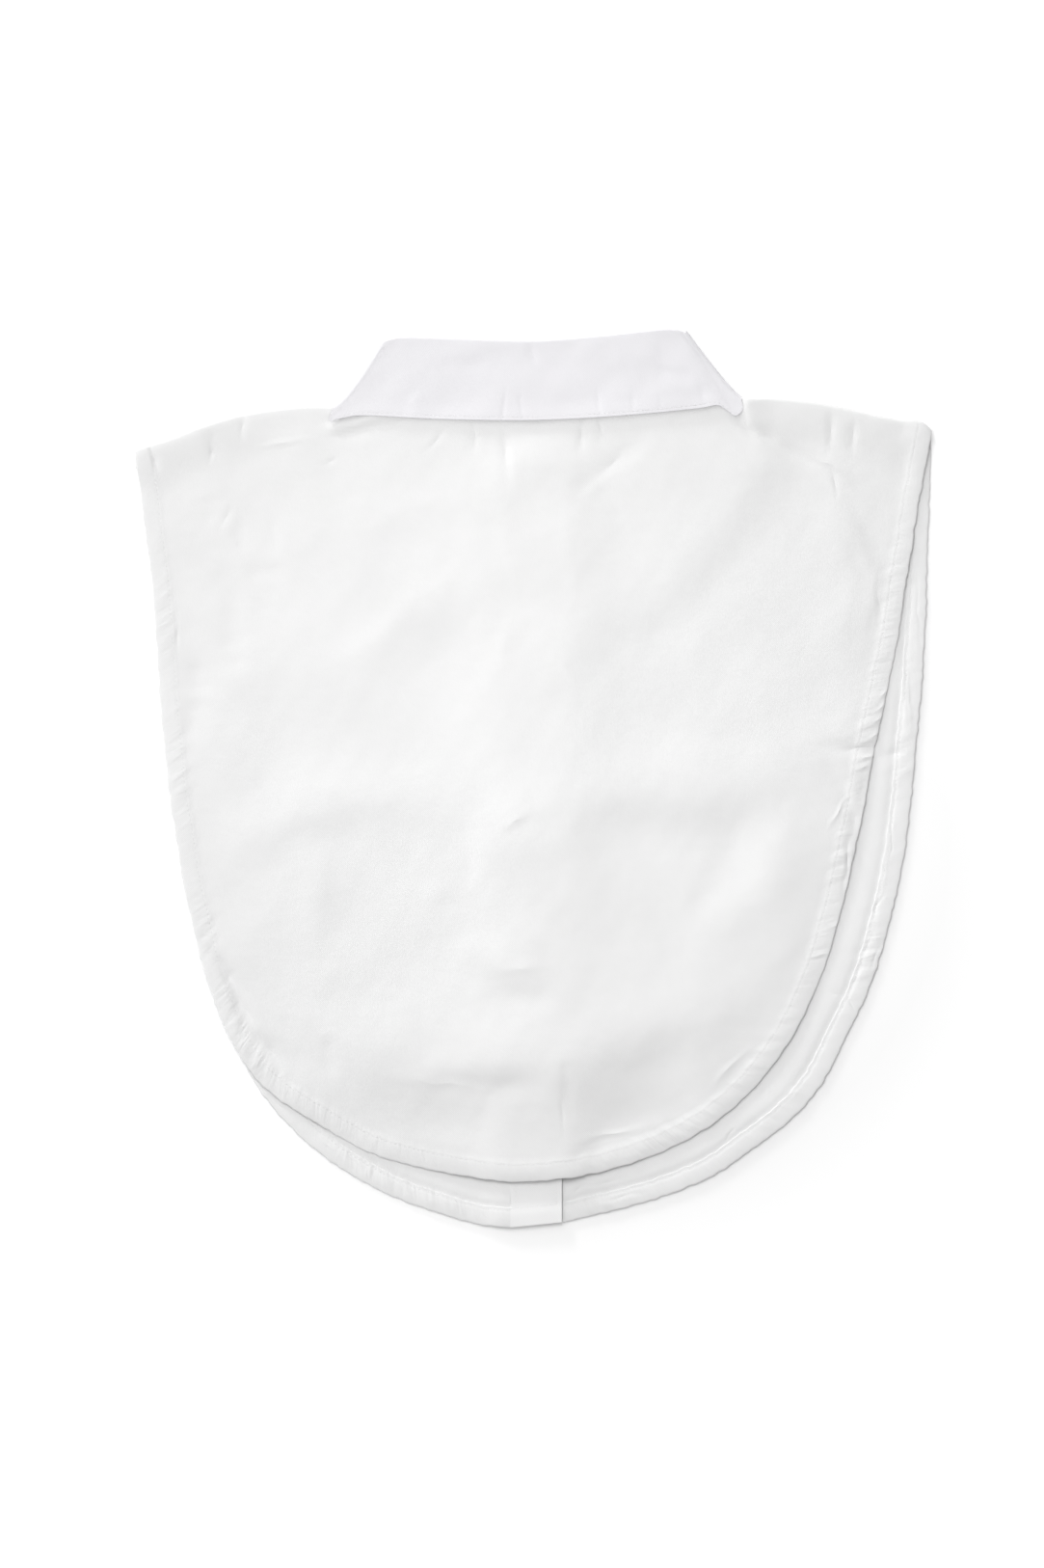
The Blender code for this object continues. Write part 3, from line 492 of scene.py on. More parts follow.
# Creases of the back panel, over its broad forms
BACK_CREASES: tuple[Crease, ...] = (
    Crease(((-12.75, 160.0), (-12.0, 60.0)), 0.12, 4.0, 1.6, 1.0),
    Crease(((18.25, 150.0), (17.5, 40.0)), 0.1, 1.8, 4.0, 1.0),
    Crease(((53.25, 171.25), (40.0, 158.0), (23.25, 141.25)), -0.4, 3.0, 7.0),
    Crease(((36.0, 147.0), (43.0, 138.0), (50.0, 128.0)), -0.35, 3.0, 5.0),
    Crease(((106.75, 187.75), (125.75, 175.75), (148.75, 158.25), (156.25, 148.25)), -0.55, 6.0, 2.5),
    Crease(((132.0, 176.0), (150.0, 163.0), (164.0, 148.0)), 0.5, 4.0, 3.0),
    Crease(((156.25, 148.25), (173.25, 133.75), (183.25, 103.75), (180.75, 73.75)), -0.45, 6.0, 4.0),
    Crease(((163.0, 126.0), (172.0, 100.0), (171.0, 72.0)), -0.35, 2.5, 3.5),
    Crease(((-149.25, 187.75), (-153.75, 175.25)), -0.45, 2.2, 2.2),
    Crease(((-166.75, 178.25), (-168.25, 164.75)), -0.5, 1.8, 2.6),
    Crease(((-198.25, 172.75), (-194.25, 158.75)), -0.5, 2.2, 2.2),
    Crease(((153.75, 191.25), (153.75, 169.75)), -0.4, 2.5, 2.0),
    Crease(((165.25, 187.25), (165.25, 168.25)), -0.45, 3.0, 2.0),
    Crease(((190.75, 184.75), (190.75, 173.75)), -0.4, 2.5, 2.5),
    Crease(((-170.0, 150.0), (-164.0, 134.0)), -0.4, 3.5, 4.5),
    Crease(((-150.0, 138.0), (-146.0, 118.0)), -0.35, 3.0, 4.0),
    Crease(((-166.0, 112.0), (-158.0, 92.0), (-157.0, 66.0)), -0.45, 5.0, 7.0),
    Crease(((-106.75, 53.75), (-75.0, 82.0), (-36.75, 113.75)), 0.35, 7.0, 12.0, 0.0),
    Crease(((-128.0, 60.0), (-110.0, 96.0), (-76.0, 132.0)), 0.45, 10.0, 12.0, 0.0),
    Crease(((-86.75, 123.75), (-62.0, 133.0), (-36.75, 143.75)), 0.3, 7.0, 10.0, 0.0),
    Crease(((-60.0, 40.0), (-44.0, 62.0), (-30.0, 92.0)), -0.35, 9.0, 7.0, 0.0),
    Crease(((-144.0, -18.0), (-100.0, -14.0), (-56.0, -6.0)), 0.7, 18.0, 10.0, 0.0),
    Crease(((-19.0, -27.0), (-12.0, -18.0), (-4.0, -14.5), (24.0, -12.0)), 0.5, 10.0, 6.0, 0.0),
    Crease(((14.0, -10.0), (80.0, -3.0), (148.25, 3.75)), 0.7, 16.0, 12.0, 0.0),
    Crease(((10.0, -34.0), (80.0, -28.0), (134.0, -20.0)), -0.9, 16.0, 18.0, 0.0),
    Crease(((148.25, 16.25), (165.75, 13.75), (182.0, 12.0)), -0.7, 3.0, 4.0),
    Crease(((150.0, 11.0), (160.0, -8.0), (163.0, -30.0)), -0.5, 3.0, 5.0),
    Crease(((-44.0, -92.0), (-20.0, -98.0), (10.0, -96.0)), 0.5, 8.0, 7.0, 0.0),
    Crease(((-31.75, -109.0), (-10.0, -107.0), (13.25, -110.0)), -0.55, 6.0, 10.0, 0.0),
    Crease(((-106.0, -138.0), (-107.0, -156.0)), -0.5, 4.0, 4.0),
    Crease(((-34.0, -20.0), (-36.0, -58.0)), -0.4, 4.0, 5.0),
    Crease(((126.0, 176.0), (138.0, 162.0), (149.0, 148.0)), -0.4, 3.5, 4.0),
    Crease(((187.0, 186.0), (191.0, 150.0)), -0.4, 4.0, 4.0),
    Crease(((-158.0, 30.0), (-140.0, 60.0), (-120.0, 88.0)), 0.4, 14.0, 12.0, 0.0),
    Crease(((-130.0, 137.0), (-129.0, 112.0)), -0.3, 3.0, 3.0),
    Crease(((-148.0, 104.0), (-128.0, 103.0)), -0.4, 5.0, 6.0),
    Crease(((-110.0, -130.0), (-60.0, -144.0), (10.0, -146.0), (76.0, -126.0), (112.0, -104.0)), 1.9, 30.0, 15.0),
    Crease(((-90.0, -172.0), (-50.0, -184.0), (0.0, -190.0), (50.0, -180.0), (96.0, -154.0)), -0.9, 24.0, 9.0),
    Crease(((14.0, -150.0), (15.5, -188.0)), -0.35, 3.0, 1.2, 1.0),
    Crease(((-60.0, -152.0), (-20.0, -162.0), (4.0, -158.0)), -0.5, 5.0, 7.0),
    Crease(((30.0, -152.0), (60.0, -150.0), (84.0, -138.0)), -0.45, 6.0, 8.0),
    Crease(((-111.75, -36.25), (-112.5, -96.25)), 0.35, 7.0, 10.0, 0.0),
    Crease(((-61.75, -26.25), (-50.0, -48.0), (-44.0, -66.25)), 0.35, 7.0, 7.0, 0.0),
    Crease(((138.25, -16.25), (120.0, -56.0), (98.25, -96.25)), 0.45, 9.0, 12.0, 0.0),
    Crease(((112.0, -8.0), (98.0, -44.0), (84.0, -80.0)), -0.35, 8.0, 10.0, 0.0),
    Crease(((155.75, -36.25), (166.0, -16.0), (173.25, 3.75)), -0.5, 4.0, 5.0),
    Crease(((-171.75, 56.0), (-170.0, 48.0)), -0.8, 6.0, 6.0, 1.0),
    Crease(((-176.75, 26.0), (-175.0, 34.0)), -0.7, 5.0, 6.0, 1.0),
    Crease(((-154.25, 70.0), (-152.0, 62.0)), -0.5, 6.0, 6.0, 1.0),
    Crease(((-171.0, -80.0), (-162.25, -94.75), (-146.0, -126.0), (-126.25, -153.0)), -1.1, 3.5, 3.0),
)

# Sharper creases beside the neck, which run as they are drawn
NECK_CREASES: tuple[Crease, ...] = (
    Crease(((-66.0, 187.0), (-84.25, 182.0), (-103.0, 177.5)), -1.0, 2.6, 2.0),
    Crease(((-80.0, 188.5), (-92.0, 184.0), (-108.0, 180.5)), 0.9, 2.0, 2.2),
    Crease(((-86.0, 189.0), (-96.0, 186.5), (-110.0, 185.0)), -0.7, 1.8, 1.8),
    Crease(((-31.75, 188.0), (-31.0, 166.0)), -0.4, 1.6, 2.6),
    Crease(((-14.25, 188.0), (-14.0, 150.0)), -0.45, 1.5, 2.6),
    Crease(((25.75, 190.0), (24.0, 168.0)), -0.45, 2.4, 1.6),
    Crease(((34.25, 190.0), (35.0, 172.0)), -0.4, 1.8, 1.8),
    Crease(((109.6, 197.0), (109.8, 190.0), (112.0, 183.5)), 1.6, 8.0, 1.9, 1.0),
    Crease(((100.0, 189.5), (108.0, 184.5), (116.0, 180.0), (126.0, 175.5)), -0.7, 2.4, 1.6),
)

# Creases of the fronts where they show past the back
FRONT_CREASES: tuple[Crease, ...] = (
    Crease(((178.0, 5.0), (199.0, 7.0)), 0.15, 1.6, 3.0, 1.0),
    Crease(((17.0, -215.0), (26.0, -210.0), (42.0, -208.0)), 0.7, 1.8, 2.0),
    Crease(((190.0, 70.0), (194.0, 20.0)), 0.3, 2.0, 2.0),
    Crease(((186.0, -20.0), (180.0, -60.0)), 0.3, 2.0, 2.5),
    Crease(((116.0, -178.0), (140.0, -158.0)), 0.3, 3.0, 3.0),
)
BACK_PUCKERS: tuple[PuckerSpot, ...] = (
    PuckerSpot((-60.0, -200.0), 40.0, 0.35),
    PuckerSpot((-10.0, -206.0), 30.0, 0.45),
    PuckerSpot((62.0, -190.0), 34.0, 1.1),
    PuckerSpot((112.0, -160.0), 34.0, 0.6),
    PuckerSpot((150.0, -95.0), 34.0, 0.5),
    PuckerSpot((168.0, -30.0), 26.0, 0.5),
    PuckerSpot((178.0, 22.0), 18.0, 0.5),
    PuckerSpot((186.0, 60.0), 24.0, 0.6),
    PuckerSpot((192.0, 100.0), 30.0, 0.5),
    PuckerSpot((-176.0, -78.0), 16.0, 0.6),
    PuckerSpot((-152.0, -138.0), 30.0, 0.9),
    PuckerSpot((-112.0, -176.0), 26.0, 0.5),
    PuckerSpot((-190.0, 0.0), 30.0, 0.5),
    PuckerSpot((-196.0, 80.0), 30.0, 0.35),
)
FRONT_PUCKERS: tuple[PuckerSpot, ...] = (
    PuckerSpot((33.0, -222.0), 18.0, 1.1),
    PuckerSpot((181.0, -91.0), 22.0, 0.8),
    PuckerSpot((196.0, 8.0), 16.0, 0.5),
    PuckerSpot((-90.0, -208.0), 20.0, 1.0),
    PuckerSpot((-50.0, -222.0), 20.0, 0.8),
    PuckerSpot((-22.0, -230.0), 14.0, 0.5),
    PuckerSpot((130.0, -178.0), 30.0, 0.4),
)


@dataclass(frozen=True)
class Stroke:
    """A short sharp wrinkle, narrower than the grid of the cloth, which the material draws."""

    start: Spot
    end: Spot
    width: float
    height: float


BACK_STROKES: tuple[Stroke, ...] = (
    Stroke((-149.0, 190.0), (-152.5, 174.0), 4.5, -0.5),
    Stroke((-166.5, 177.0), (-168.0, 162.0), 3.0, -0.5),
    Stroke((-198.5, 174.0), (-194.0, 157.0), 3.2, -0.4),
    Stroke((-164.0, 126.0), (-156.0, 144.0), 4.5, -0.35),
    Stroke((-185.5, 86.0), (-183.5, 62.0), 2.4, -0.3),
    Stroke((-112.0, 162.0), (-98.0, 167.0), 4.0, -0.3),
    Stroke((-145.0, 171.0), (-114.0, 177.0), 4.0, 0.35),
    Stroke((-17.0, 182.0), (-12.5, 158.0), 3.2, -0.4),
    Stroke((-30.5, 186.0), (-30.0, 170.0), 2.6, -0.3),
    Stroke((-57.0, 166.0), (-43.0, 185.0), 4.5, -0.35),
    Stroke((26.0, 190.0), (23.5, 166.0), 3.2, -0.3),
    Stroke((33.0, 188.0), (36.5, 176.0), 2.4, -0.35),
    Stroke((54.0, 175.0), (28.0, 152.0), 6.0, -0.35),
    Stroke((154.5, 193.0), (152.5, 168.0), 4.0, -0.4),
    Stroke((165.0, 189.0), (166.5, 168.0), 3.0, -0.35),
    Stroke((155.0, 163.0), (156.5, 144.0), 2.6, -0.4),
    Stroke((138.0, 169.5), (166.0, 158.0), 4.0, 0.5),
    Stroke((179.5, 112.0), (179.5, 74.0), 3.5, -0.35),
    Stroke((177.0, 41.0), (186.0, 48.0), 2.4, 0.35),
    Stroke((175.0, 34.0), (184.0, 41.0), 2.4, 0.35),
    Stroke((174.0, 27.0), (183.0, 34.0), 2.4, 0.35),
    Stroke((173.0, 20.0), (182.0, 26.5), 2.4, 0.35),
    Stroke((156.0, 13.0), (182.0, 18.0), 4.0, -0.6),
    Stroke((164.0, 9.0), (180.0, 12.0), 2.6, 0.45),
    Stroke((165.0, 4.0), (178.0, 7.0), 2.4, 0.35),
    Stroke((152.0, -28.0), (165.0, -6.0), 2.4, 0.45),
    Stroke((166.0, -18.0), (159.0, -66.0), 3.0, -0.5),
    Stroke((150.0, -78.0), (162.0, -74.0), 2.4, 0.35),
    Stroke((140.0, -92.0), (158.0, -90.0), 2.4, 0.4),
    Stroke((16.0, -188.5), (64.0, -179.0), 4.0, 0.4),
    Stroke((90.0, -160.0), (112.0, -139.0), 3.5, 0.35),
    Stroke((15.0, -152.0), (15.5, -192.0), 3.0, -0.22),
    Stroke((-84.0, -153.0), (-8.0, -162.0), 6.0, 0.35),
    Stroke((-19.0, -28.0), (0.0, -14.0), 5.0, 0.35),
    Stroke((-28.0, -98.0), (16.0, -98.0), 7.0, 0.4),
    Stroke((-164.0, -92.0), (-152.0, -112.0), 7.0, -0.8),
    Stroke((-156.0, -106.0), (-142.0, -132.0), 6.5, -0.8),
    Stroke((-145.0, -126.0), (-126.0, -158.0), 5.5, -0.6),
)

FRONT_STROKES: tuple[Stroke, ...] = (
    Stroke((193.0, 64.0), (196.5, 16.0), 1.8, 0.16),
    Stroke((198.0, 120.0), (201.0, 50.0), 1.8, -0.13),
    Stroke((178.0, 12.0), (200.0, 13.0), 5.0, -0.29),
    Stroke((188.0, -4.0), (183.0, -56.0), 1.8, -0.2),
    Stroke((183.0, -55.0), (175.0, -78.0), 2.2, -0.26),
    Stroke((178.0, -72.0), (169.0, -100.0), 2.2, -0.26),
    Stroke((180.0, -84.0), (174.0, -102.0), 2.0, -0.2),
    Stroke((172.0, -90.0), (163.0, -116.0), 2.4, -0.29),
    Stroke((146.0, -109.0), (168.0, -113.0), 5.0, -0.26),
    Stroke((163.0, -112.0), (168.0, -124.0), 2.0, -0.23),
    Stroke((17.0, -216.5), (29.0, -209.0), 3.0, -0.33),
    Stroke((24.0, -211.0), (50.0, -207.0), 3.0, -0.23),
    Stroke((30.0, -219.0), (62.0, -214.0), 2.4, -0.2),
    Stroke((99.0, -190.0), (106.0, -178.0), 1.8, -0.23),
    Stroke((132.0, -160.0), (139.0, -166.0), 3.0, 0.23),
    Stroke((-113.0, -185.0), (-100.0, -196.0), 1.8, 0.2),
    Stroke((-138.0, -163.0), (-124.0, -174.0), 2.0, -0.2),
    Stroke((-98.0, -192.0), (-90.0, -202.0), 2.0, -0.2),
)


def linear(code: str) -> tuple[float, float, float, float]:
    """Linear colour of an sRGB hex value.

    Args:
        code: The colour as #RRGGBB.

    Returns:
        Red, green, blue and a full alpha.
    """
    parts = [int(code[k : k + 2], 16) / 255.0 for k in (1, 3, 5)]
    red, green, blue = (part / 12.92 if part <= 0.04045 else ((part + 0.055) / 1.055) ** 2.4 for part in parts)
    return red, green, blue, 1.0


def add_node(
    tree: bpy.types.NodeTree,
    kind: str,
    settings: Optional[dict[str, object]] = None,
    values: Optional[dict[str, object]] = None,
    links: Optional[dict[str, bpy.types.NodeSocket]] = None,
) -> bpy.types.Node:
    """Adds a node with its settings, its sockets' values and its links.

    Args:
        tree: Where the node goes.
        kind: The node's type name.
        settings: Its own properties.
        values: Fixed values of inputs, by name or number.
        links: Outputs that feed inputs, by name or number.

    Returns:
        The new node.
    """
    node = tree.nodes.new(kind)
    for name, value in (settings or {}).items():
        setattr(node, name, value)
    for name, value in (values or {}).items():
        node.inputs[name].default_value = value
    for name, source in (links or {}).items():
        tree.links.new(source, node.inputs[name])
    return node


@dataclass(frozen=True)
class CottonPoplin:
    """White cotton shirting in plain weave: matt, a little uneven in tone, with fine crinkles left by washing.

    The real thread lies every 0.25 mm, too fine to show, so the weave is drawn about twice as coarse.
    """

    name: str
    colour: str
    shade: str
    thread: float
    weave_depth: float
    crinkle: float
    crinkle_depth: float
    roughness: float
    pucker_depth: float = 0.0
    strokes: tuple[Stroke, ...] = ()

    def wrinkles(
        self, tree: bpy.types.NodeTree, place: bpy.types.NodeSocket, below: bpy.types.NodeSocket
    ) -> bpy.types.NodeSocket:
        """Adds the short sharp wrinkles, each a spindle on the flat cloth, led a little astray by a noise.

        Args:
            tree: The material's nodes.
            place: Flat coordinates of the cloth.
            below: The normal of the coarser relief.

        Returns:
            The normal with the wrinkles added.
        """
        sway = 5.0 * MM
        noise = add_node(
            tree, "ShaderNodeTexNoise", None, {"Scale": 1.0 / (15.0 * MM), "Detail": 1.0}, {"Vector": place}
        )
        astray = add_node(
            tree, "ShaderNodeVectorMath", {"operation": "MULTIPLY_ADD"}, {1: (sway, sway, 0.0)},
            {0: noise.outputs["Color"], 2: place},
        )
        flat = add_node(tree, "ShaderNodeValue")
        flat.outputs[0].default_value = 0.0
        height = flat.outputs[0]
        for stroke in self.strokes:
            (x0, y0), (x1, y1) = stroke.start, stroke.end
            middle = ((x0 + x1) / 2 * MM + sway / 2, (y0 + y1) / 2 * MM + sway / 2, 0.0)
            own = add_node(
                tree, "ShaderNodeMapping", {"vector_type": "TEXTURE"},
                {
                    "Location": middle, "Rotation": (0.0, 0.0, math.atan2(y1 - y0, x1 - x0)),
                    "Scale": (0.6 * math.hypot(x1 - x0, y1 - y0) * MM, stroke.width * MM, 1.0),
                },
                {"Vector": astray.outputs["Vector"]},
            )
            spindle = add_node(
                tree, "ShaderNodeTexGradient", {"gradient_type": "QUADRATIC_SPHERE"}, None,
                {"Vector": own.outputs["Vector"]},
            )
            height = add_node(
                tree, "ShaderNodeMath", {"operation": "MULTIPLY_ADD"}, {1: stroke.height},
                {0: spindle.outputs["Fac"], 2: height},
            ).outputs[0]
        bump = add_node(
            tree, "ShaderNodeBump", None, {"Strength": 1.0, "Distance": MM}, {"Height": height, "Normal": below}
        )
        return bump.outputs["Normal"]

    def puckers(self, tree: bpy.types.NodeTree, below: bpy.types.NodeSocket) -> bpy.types.NodeSocket:
        """Adds the short uneven folds that lie across a stitched hem, where the pull attribute is above 0.

        Args:
            tree: The material's nodes.
            below: The normal of the coarser relief.

        Returns:
            The normal with the folds added.
        """
        place = add_node(tree, "ShaderNodeUVMap", {"uv_map": "hem"})
        split = add_node(tree, "ShaderNodeSeparateXYZ", None, None, {0: place.outputs["UV"]})
        slant = add_node(
            tree, "ShaderNodeMath", {"operation": "MULTIPLY_ADD"}, {1: 0.45},
            {0: split.outputs["Y"], 2: split.outputs["X"]},
        )
        sheared = add_node(
            tree, "ShaderNodeCombineXYZ", None, None, {"X": slant.outputs[0], "Y": split.outputs["Y"]}
        )
        sized = add_node(
            tree, "ShaderNodeVectorMath", {"operation": "MULTIPLY"},
            {1: (1.0 / (2.9 * MM), 1.0 / (12.0 * MM), 1.0)}, {0: sheared.outputs["Vector"]},
        )
        folds = add_node(
            tree, "ShaderNodeTexNoise", None, {"Scale": 1.0, "Detail": 1.0, "Distortion": 0.3},
            {"Vector": sized.outputs["Vector"]},
        )
        begin = add_node(
            tree, "ShaderNodeMapRange", {"interpolation_type": "SMOOTHSTEP"},
            {"From Min": 0.0, "From Max": 5.0 * MM, "To Min": 0.2, "To Max": 1.0}, {"Value": split.outputs["Y"]},
        )
        end = add_node(
            tree, "ShaderNodeMapRange", {"interpolation_type": "SMOOTHSTEP"},
            {"From Min": 8.5 * MM, "From Max": 13.0 * MM, "To Min": 1.0, "To Max": 0.0}, {"Value": split.outputs["Y"]},
        )
        pull = add_node(tree, "ShaderNodeAttribute", {"attribute_name": "pull"})
        window = add_node(
            tree, "ShaderNodeMath", {"operation": "MULTIPLY"}, None, {0: begin.outputs[0], 1: end.outputs[0]}
        )
        drawn = add_node(
            tree, "ShaderNodeMath", {"operation": "MULTIPLY"}, None, {0: window.outputs[0], 1: pull.outputs["Fac"]}
        )
        height = add_node(
            tree, "ShaderNodeMath", {"operation": "MULTIPLY"}, None, {0: drawn.outputs[0], 1: folds.outputs["Fac"]}
        )
        bump = add_node(
            tree, "ShaderNodeBump", None, {"Strength": 1.0, "Distance": self.pucker_depth * MM},
            {"Height": height.outputs[0], "Normal": below},
        )
        return bump.outputs["Normal"]

    def material(self) -> bpy.types.Material:
        """Makes the material on the cloth's own flat coordinates, in metres."""
        made = bpy.data.materials.new(self.name)
        made.use_nodes = True
        tree = made.node_tree
        shader = tree.nodes["Principled BSDF"]
        place = add_node(tree, "ShaderNodeUVMap", {"uv_map": "cloth"})
        tone = add_node(
            tree, "ShaderNodeTexNoise", None, {"Scale": 22.0, "Detail": 3.0, "Roughness": 0.55},
            {"Vector": place.outputs["UV"]},
        )
        mixed = add_node(
            tree, "ShaderNodeMix", {"data_type": "RGBA"}, {6: linear(self.shade), 7: linear(self.colour)},
            {0: tone.outputs["Fac"]},
        )
        turns = math.pi / (self.thread * MM)
        grain = add_node(
            tree, "ShaderNodeVectorMath", {"operation": "SCALE"}, {"Scale": turns}, {0: place.outputs["UV"]}
        )
        split = add_node(tree, "ShaderNodeSeparateXYZ", None, None, {0: grain.outputs["Vector"]})
        warp = add_node(tree, "ShaderNodeMath", {"operation": "SINE"}, None, {0: split.outputs["X"]})
        weft = add_node(tree, "ShaderNodeMath", {"operation": "SINE"}, None, {0: split.outputs["Y"]})
        weave = add_node(
            tree, "ShaderNodeMath", {"operation": "MULTIPLY"}, None, {0: warp.outputs[0], 1: weft.outputs[0]}
        )
        crinkles = add_node(
            tree, "ShaderNodeTexNoise", None,
            {"Scale": 1.0 / (self.crinkle * MM), "Detail": 3.0, "Roughness": 0.45},
            {"Vector": place.outputs["UV"]},
        )
        soft = add_node(
            tree, "ShaderNodeBump", None, {"Strength": 1.0, "Distance": self.crinkle_depth * MM},
            {"Height": crinkles.outputs["Fac"]},
        )
        coarse = soft.outputs["Normal"]
        if self.strokes:
            coarse = self.wrinkles(tree, place.outputs["UV"], coarse)
        if self.pucker_depth > 0.0:
            coarse = self.puckers(tree, coarse)
        woven = add_node(
            tree, "ShaderNodeBump", None, {"Strength": 1.0, "Distance": self.weave_depth * MM},
            {"Height": weave.outputs[0], "Normal": coarse},
        )
        tree.links.new(mixed.outputs[2], shader.inputs["Base Color"])
        tree.links.new(woven.outputs["Normal"], shader.inputs["Normal"])
        shader.inputs["Roughness"].default_value = self.roughness
        shader.inputs["IOR"].default_value = 1.45
        shader.inputs["Specular IOR Level"].default_value = 0.2
        shader.inputs["Sheen Weight"].default_value = 0.08
        shader.inputs["Sheen Roughness"].default_value = 0.6
        return made


@dataclass(frozen=True)
class SewingThread:
    """Twisted white polyester thread, as white as the cloth, with a soft sheen along its twist."""

    name: str
    colour: str
    twist: float

    def material(self) -> bpy.types.Material:
        """Makes the material with fine slanted ridges of the twist."""
        made = bpy.data.materials.new(self.name)
        made.use_nodes = True
        tree = made.node_tree
        shader = tree.nodes["Principled BSDF"]
        place = add_node(tree, "ShaderNodeTexCoord")
        ridges = add_node(
            tree, "ShaderNodeTexWave", {"bands_direction": "DIAGONAL"},
            {"Scale": 0.5 / (self.twist * MM), "Distortion": 0.5}, {"Vector": place.outputs["Object"]},
        )
        bump = add_node(
            tree, "ShaderNodeBump", None, {"Strength": 0.5, "Distance": 0.03 * MM}, {"Height": ridges.outputs["Fac"]}
        )
        tree.links.new(bump.outputs["Normal"], shader.inputs["Normal"])
        shader.inputs["Base Color"].default_value = linear(self.colour)
        shader.inputs["Roughness"].default_value = 0.55
        return made


@dataclass(frozen=True)
class TurnedPolyester:
    """Cast white polyester button: softly glossy, faintly milky, with fine rings left by the turning."""

    name: str
    colour: str
    ring: float

    def material(self) -> bpy.types.Material:
        """Makes the material with a slight clouding and turning marks."""
        made = bpy.data.materials.new(self.name)
        made.use_nodes = True
        tree = made.node_tree
        shader = tree.nodes["Principled BSDF"]
        place = add_node(tree, "ShaderNodeTexCoord")
        cloud = add_node(
            tree, "ShaderNodeTexNoise", None, {"Scale": 260.0, "Detail": 2.0}, {"Vector": place.outputs["Object"]}
        )
        tone = add_node(
            tree, "ShaderNodeMix", {"data_type": "RGBA"}, {6: linear(self.colour), 7: linear("#F6F5F1")},
            {0: cloud.outputs["Fac"]},
        )
        marks = add_node(
            tree, "ShaderNodeTexNoise", None, {"Scale": 1.0 / (self.ring * MM), "Detail": 1.0},
            {"Vector": place.outputs["Object"]},
        )
        bump = add_node(
            tree, "ShaderNodeBump", None, {"Strength": 0.15, "Distance": 0.02 * MM}, {"Height": marks.outputs["Fac"]}
        )
        tree.links.new(tone.outputs[2], shader.inputs["Base Color"])
        tree.links.new(bump.outputs["Normal"], shader.inputs["Normal"])
        shader.inputs["Roughness"].default_value = 0.3
        shader.inputs["IOR"].default_value = 1.54
        return made


BACK_POPLIN = CottonPoplin(
    "white_poplin_back", "#EBEBEB", "#E5E5E5", 0.5, 0.025, 9.0, 0.24, 0.92, 0.5, BACK_STROKES
)
FRONT_POPLIN = CottonPoplin(
    "white_poplin_fronts", "#EDEDED", "#E9E9E9", 0.5, 0.025, 9.0, 0.2, 0.92, 0.45, FRONT_STROKES
)
BAND_POPLIN = CottonPoplin("white_poplin_bands", "#F2F2F2", "#EEEEEE", 0.5, 0.025, 12.0, 0.2, 0.92)
COLLAR_POPLIN = CottonPoplin("white_poplin_collar", "#E8E7EA", "#E3E2E5", 0.5, 0.025, 14.0, 0.2, 0.9)
WHITE_THREAD = SewingThread("white_sewing_thread", "#E9E9E9", 0.35)
WHITE_POLYESTER = TurnedPolyester("white_turned_polyester", "#EDECE6", 0.4)


def dress(piece: bpy.types.Object, material: bpy.types.Material, node: Optional[str] = None) -> None:
    """Gives a finished piece its material, hangs it on the root body and hides the solid that it replaces.

    Args:
        piece: The object.
        material: What it is made of.
        node: The solid that it replaces, if any.
    """
    piece.data.materials.append(material)
    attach(piece, "root")
    if node is not None:
        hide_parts(node)
    LOG.info("%s: %d faces", piece.name, len(piece.data.polygons))


def keep_mesh(name: str, made: bmesh.types.BMesh) -> bpy.types.Object:
    """Turns a bmesh into an object of the scene with smooth faces."""
    mesh = bpy.data.meshes.new(name)
    made.to_mesh(mesh)
    made.free()
    mesh.shade_smooth()
    piece = bpy.data.objects.new(name, mesh)
    bpy.context.scene.collection.objects.link(piece)
    return piece


def harden(piece: bpy.types.Object, sharp_from: float) -> None:
    """Applies a piece's modifiers and keeps the edges sharp where its faces meet steeply.

    Args:
        piece: The piece.
        sharp_from: Angle in degrees from which an edge is sharp.
    """
    graph = bpy.context.evaluated_depsgraph_get()
    finished = bpy.data.meshes.new_from_object(
        piece.evaluated_get(graph), preserve_all_data_layers=True, depsgraph=graph
    )
    piece.modifiers.clear()
    piece.data = finished
    finished.shade_smooth()
    finished.set_sharp_from_angle(angle=math.radians(sharp_from))


def mark_places(cloth: bmesh.types.BMesh, name: str, places: Array) -> None:
    """Writes a place for each point of a grid into a UV map.

    Args:
        cloth: The grid.
        name: The map's name.
        places: A pair of numbers for each point.
    """
    layer = cloth.loops.layers.uv.new(name)
    pairs = places.tolist()
    for face in cloth.faces:
        for loop in face.loops:
            loop[layer].uv = pairs[loop.vert.index]


@dataclass(frozen=True)
class HemMap:
    """Where each point of a grid lies from its hem, how hard the stitches pull there, and what is cut away."""

    run: Array
    depth: Array
    pull: Array
    cut: Array


